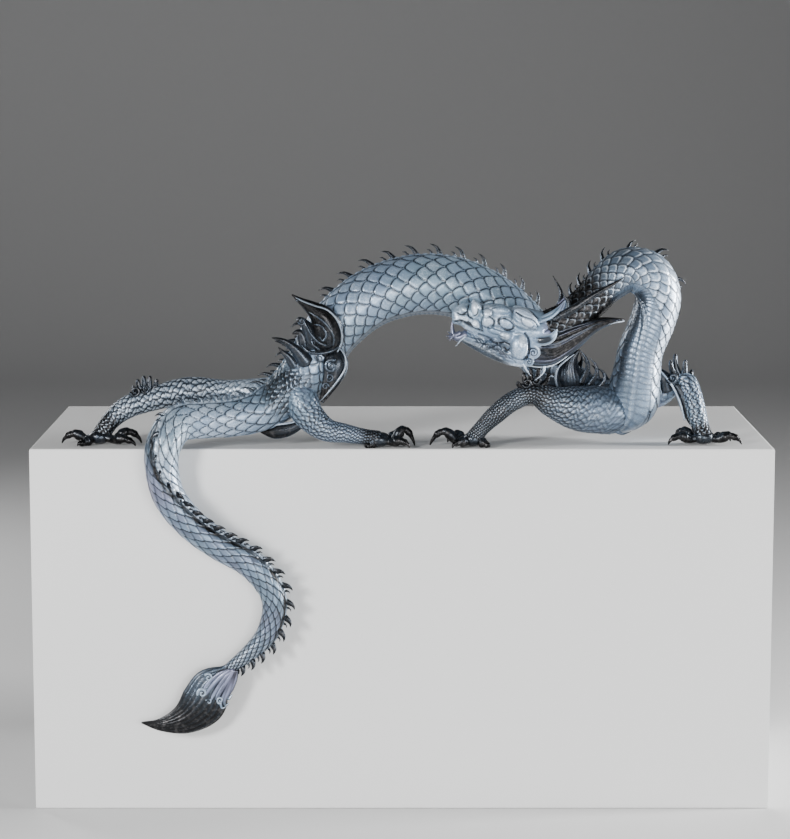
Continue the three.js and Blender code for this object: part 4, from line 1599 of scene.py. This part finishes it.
def make_ears():
    bench = Bench()
    ear = [
        [127, -9, 111.5, 2.2],
        [133.5, -12, 109.8, 4.8],
        [140.5, -14, 110.2, 5.6],
        [147.5, -16, 113.5, 4.0],
        [152, -17, 121, 0.6],
    ]

    def paint(station, angle):
        share = station / (EAR_RINGS - 1)
        slit = smooth(0.16, 0.36, share) * (1 - smooth(0.6, 0.86, share))
        slit *= smooth(0.72, 0.95, np.cos(angle))
        # the rim is painted pale as a highlight, the slit as a dark groove
        return {"groove": slit, "dark": 0.1 * share, "tint": 0.5 - 1.4 * np.abs(np.sin(angle)) ** 6}

    for keys, face in ((ear, NEAR_FACE), (mirrored(ear, HEAD_PLANE), FAR_FACE)):
        stations = np.linspace(0, 1, EAR_RINGS)
        bench.tube(Path(keys, face), stations, 28, paint=paint, thick=0.55, cup=0.35, caps=2)
    bench.piece("ears", CASTING)


make_ears()

# %% [markdown]
# ## Tongue and whiskers
# The lilac tongue curls up in front of the mouth with small tips below it, and thin pale whiskers
# hang from the chin and the jaw. Cards of hair would do for a game, but a casting has round ones, so
# they are thorns too.

# %% Tongue and whiskers
def make_whiskers():
    bench = Bench()
    tongue = [[64, 8, 113], [56, 8, 110], [50.5, 8, 115], [49.5, 8, 127]]
    lilac = {"dark": (0.5, 0.65), "edge": 0.0, "tint": 1.1, "power": 1.5}
    thorn(bench, tongue, 5.2, thick=1.2, rings=24, sides=16, **lilac)
    for tip in ([43, 1, 112.5], [44.5, 8, 108.5], [47, 3, 107.5], [45, 12, 116], [51, 8, 107]):
        thorn(bench, [[58, 6, 115], [51, 5, 112.5], tip], 2.6, rings=14, sides=10, **lilac)
    pale = {"dark": (0.1, 0.3), "edge": 0.0, "tint": 0.0}
    thorn(bench, [[63, 2, 112], [58, 0, 108.5], [53, -2, 102.5]], 1.5, rings=14, sides=8, **pale)
    for place in both_sides([[120, -2, 85], [123, -3, 79], [127, -4, 73.5]]):
        thorn(bench, place, 1.7, rings=14, sides=8, **pale)
    for place in both_sides([[136, 4, 90], [141, 1, 80], [137, -1, 73], [131, -2, 68.5]]):
        thorn(bench, place, 1.6, rings=18, sides=8, **pale)
    bench.piece("tongue_and_whiskers", CASTING)


make_whiskers()

# %% [markdown]
# ## The mane
# The mane is combed back from the cheek into one long pointed wing. Its lower and upper edge are
# drawn on the side view, and a core fills the room between its two faces.

# %% Mane keys
MANE_LOWER = [
    (126, 84),
    (138, 82.5),
    (150, 84.5),
    (166, 95),
    (180, 107.5),
    (194, 120),
    (206, 125),
    (219.5, 127.5),
]
MANE_UPPER = [
    (134, 121),
    (146, 122),
    (156, 123),
    (168, 126.5),
    (180, 128),
    (192, 129),
    (205, 129.5),
    (219.5, 128.5),
]
MANE_CORE = [[132, 8, 104, 19], [154, 8, 106, 18], [172, 8, 113, 13], [190, 8, 121, 6], [212, 8, 127, 1.5]]
print("the mane reaches from", MANE_LOWER[0][0], "to", MANE_LOWER[-1][0], "squares")

# %% [markdown]
# ## Locks of the mane
# Each lock runs between the wing's two edges, and the locks darken towards the tip. A rolled lock,
# painted pale as a highlight, closes the lower edge. Painted shade darkens the core and each lock's
# sides. A hair system wouldn't be one solid casting, so each lock is a tube that lies on the core.

# %% Locks of the mane
LOCKS = 42  # on each side
LOCK_KEYS = 8


def make_mane():
    bench = Bench()
    lower = sampled(MANE_LOWER, LOCK_KEYS)
    upper = sampled(MANE_UPPER, LOCK_KEYS)
    # the core is painted dark, as shade between the locks
    core_shade = {"dark": 0.5, "groove": 0.5}
    bench.tube(Path(MANE_CORE), np.linspace(0, 1, 30), 24, paint=core_shade, thick=0.6)
    lengths = 0.82 + 0.18 * np.sin(np.arange(LOCKS) * 2.4) ** 2
    for side in (-1, 1):
        for number in range(LOCKS):
            height = (number + 0.5) / LOCKS
            keys = []
            for step in range(LOCK_KEYS):
                share = step / (LOCK_KEYS - 1) * lengths[number]
                at = share * (LOCK_KEYS - 1)
                low = [np.interp(at, range(LOCK_KEYS), lower[:, axis]) for axis in (0, 1)]
                high = [np.interp(at, range(LOCK_KEYS), upper[:, axis]) for axis in (0, 1)]
                x, z = [a + (b - a) * height for a, b in zip(low, high)]
                bulge = (20 * (1 - share) ** 0.6 + 0.6) * (0.66 + 0.34 * smooth(0.02, 0.22, share))
                bulge *= math.sqrt(1 - abs(2 * height - 1) ** 3)
                girth = (1.7 * (1 - share) ** 0.7 + 0.35) * (0.75 + 0.5 * SHUFFLE[number * 7 + 3])
                keys.append([x, HEAD_PLANE + side * bulge, z, girth])

            def paint(station, angle):
                share = station / (LOCK_RINGS - 1)
                tip = smooth(0.0, 0.35, share + height * 0.4 - 0.1)
                strand = 0.86 + 0.14 * (SHUFFLE[number] > 0.25)
                dark = (0.88 + 0.12 * tip) * (0.85 + 0.15 * smooth(0.03, 0.25, height)) * strand
                tint = 0.5 + 0.5 * SHUFFLE[number + 50]
                # each lock's sides are painted dark, as shade between the locks
                return {"dark": dark, "tint": tint, "groove": np.abs(np.sin(angle)) ** 3 * 0.8}

            bench.tube(Path(keys), np.linspace(0, 1, LOCK_RINGS), 8, paint=paint, caps=2)
    for side in (-1, 1):
        rim = []
        for number, (x, z) in enumerate(MANE_LOWER):
            aside = 2.5 * (1 - number / len(MANE_LOWER))
            rim.append([x, HEAD_PLANE + side * aside, z - 0.7, 1.7 - number * 0.12])
        # the rolled lock is painted pale, as a highlight
        thin_ridge(bench, rim, 60, tint=-0.9)
    bench.piece("mane", CASTING)


make_mane()

# %% [markdown]
# ## Plinth
# The plinth is a plain painted block. Its solid is already right, edges included, and a second mesh
# would only repeat it. So it gets just a finish: off-white paint, slightly uneven, with the faint
# orange-peel of a roller.

# %% Plinth paint
PAINT_GREY = (0.76, 0.765, 0.76, 1)
PAINT_WHITE = (0.81, 0.81, 0.805, 1)


def plinth_finish():
    finish = Finish("plinth_paint")
    clouds = finish.noise(3.0, 2)
    peel = finish.noise(420, 3)
    colour = finish.blend(clouds, PAINT_GREY, PAINT_WHITE)
    relief = {"Strength": 0.08, "Distance": 0.0004, "Height": peel}
    bump = finish.node("ShaderNodeBump", inputs=relief)
    finish.set(Base_Color=colour, Roughness=0.52 + (peel - 0.5) * 0.1, Normal=bump)
    return finish.material


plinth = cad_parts["plinth"]
plinth.data.materials.clear()
plinth.data.materials.append(plinth_finish())
print("plinth is painted with", plinth.data.materials[0].name)

# %% [markdown]
# ## Floor
# A pale floor rises into a backdrop over a rounded corner, so that no horizon shows. A single face is
# enough to start from: its back edge is extruded up, and the fold between the two is bevelled.

# %% Floor and backdrop
FLOOR_HALF = 6
WALL_HEIGHT = 7
CORNER_RADIUS = 3


def make_floor():
    """A floor whose back edge is extruded up into a wall, with the corner rounded."""
    bm = bmesh.new()
    bmesh.ops.create_grid(bm, x_segments=1, y_segments=1, size=FLOOR_HALF)
    back_edge = [edge for edge in bm.edges if all(vertex.co.y > FLOOR_HALF / 2 for vertex in edge.verts)]
    wall = bmesh.ops.extrude_edge_only(bm, edges=back_edge)["geom"]
    wall_top = [part for part in wall if isinstance(part, bmesh.types.BMVert)]
    bmesh.ops.translate(bm, vec=(0, 0, WALL_HEIGHT), verts=wall_top)
    rounding = {"segments": 24, "profile": 0.5, "affect": "EDGES", "material": -1}
    bmesh.ops.bevel(bm, geom=back_edge, offset=CORNER_RADIUS, **rounding)
    for face in bm.faces:
        face.smooth = True
    mesh = bpy.data.meshes.new("floor")
    bm.to_mesh(mesh)
    bm.free()
    floor = bpy.data.objects.new("floor", mesh)
    bpy.context.scene.collection.objects.link(floor)
    finish = Finish("floor_paint")
    finish.set(Base_Color=(0.62, 0.62, 0.62, 1), Roughness=0.8)
    mesh.materials.append(finish.material)
    print("floor and backdrop", len(mesh.polygons), "faces")


make_floor()

# %% [markdown]
# ## Camera and lights
# The key light is small and stands high at the front left, and a large soft light at the front, a
# little to the right, fills its shadows. A strong light at the right draws the bright edges of the
# body, and a faint one behind at the left does so there. The surround is dim. One big sky light would
# be simpler, but it would leave the relief flat. The camera looks slightly down on the front face
# from far off, which keeps the block's edges nearly parallel.

# %% Camera and lights
ELEVATION = math.radians(8)
CAMERA_DISTANCE = 2.4
SENSOR_WIDTH = 36
PICTURE_SQUARES = 839  # of the drawing, along the picture's longer side
AIM = to_metres([-7, 20, 26.5])
LIGHTS = [  # name, place, width and height, power
    ("key", (-1.5, -2.0, 1.0), (0.5, 0.6), 62),
    ("front", (0.7, -2.8, 0.5), (1.4, 0.7), 46),
    ("left_edge", (-1.3, 1.1, 0.75), (0.4, 1.2), 14),
    ("right_edge", (1.7, -0.1, 0.52), (0.4, 0.9), 90),
]
SURROUND = (0.42, 0.43, 0.45, 1)
SURROUND_STRENGTH = 0.15


def area_light(name, place, size, power):
    light = bpy.data.lights.new(name, "AREA")
    light.shape = "RECTANGLE"
    light.size, light.size_y = size
    light.energy = power
    lamp = bpy.data.objects.new(name, light)
    lamp.location = place
    lamp.rotation_euler = (Vector(AIM) - Vector(place)).to_track_quat("-Z", "Y").to_euler()
    bpy.context.scene.collection.objects.link(lamp)


def make_camera():
    camera = bpy.data.cameras.new("camera")
    camera.sensor_width = SENSOR_WIDTH
    camera.lens = SENSOR_WIDTH * CAMERA_DISTANCE / (PICTURE_SQUARES * SQUARE)
    holder = bpy.data.objects.new("camera", camera)
    away = Vector((0, -math.cos(ELEVATION), math.sin(ELEVATION)))
    holder.location = Vector(AIM) + away * CAMERA_DISTANCE
    holder.rotation_euler = (-away).to_track_quat("-Z", "Y").to_euler()
    bpy.context.scene.collection.objects.link(holder)
    bpy.context.scene.camera = holder
    print("lens", round(camera.lens, 1), "mm")


make_camera()
for name, place, size, power in LIGHTS:
    area_light(name, place, size, power)
world = bpy.data.worlds.new("surround")
world.use_nodes = True
background = world.node_tree.nodes["Background"]
background.inputs["Color"].default_value = SURROUND
background.inputs["Strength"].default_value = SURROUND_STRENGTH
bpy.context.scene.world = world
print("lights", ", ".join(light[0] for light in LIGHTS))

# %% [markdown]
# ## The solids' box
# The fine pieces must stay inside the solids' box, so that box, measured at the start, is printed.

# %% Print the solids' box
print("solid box", solid_box)
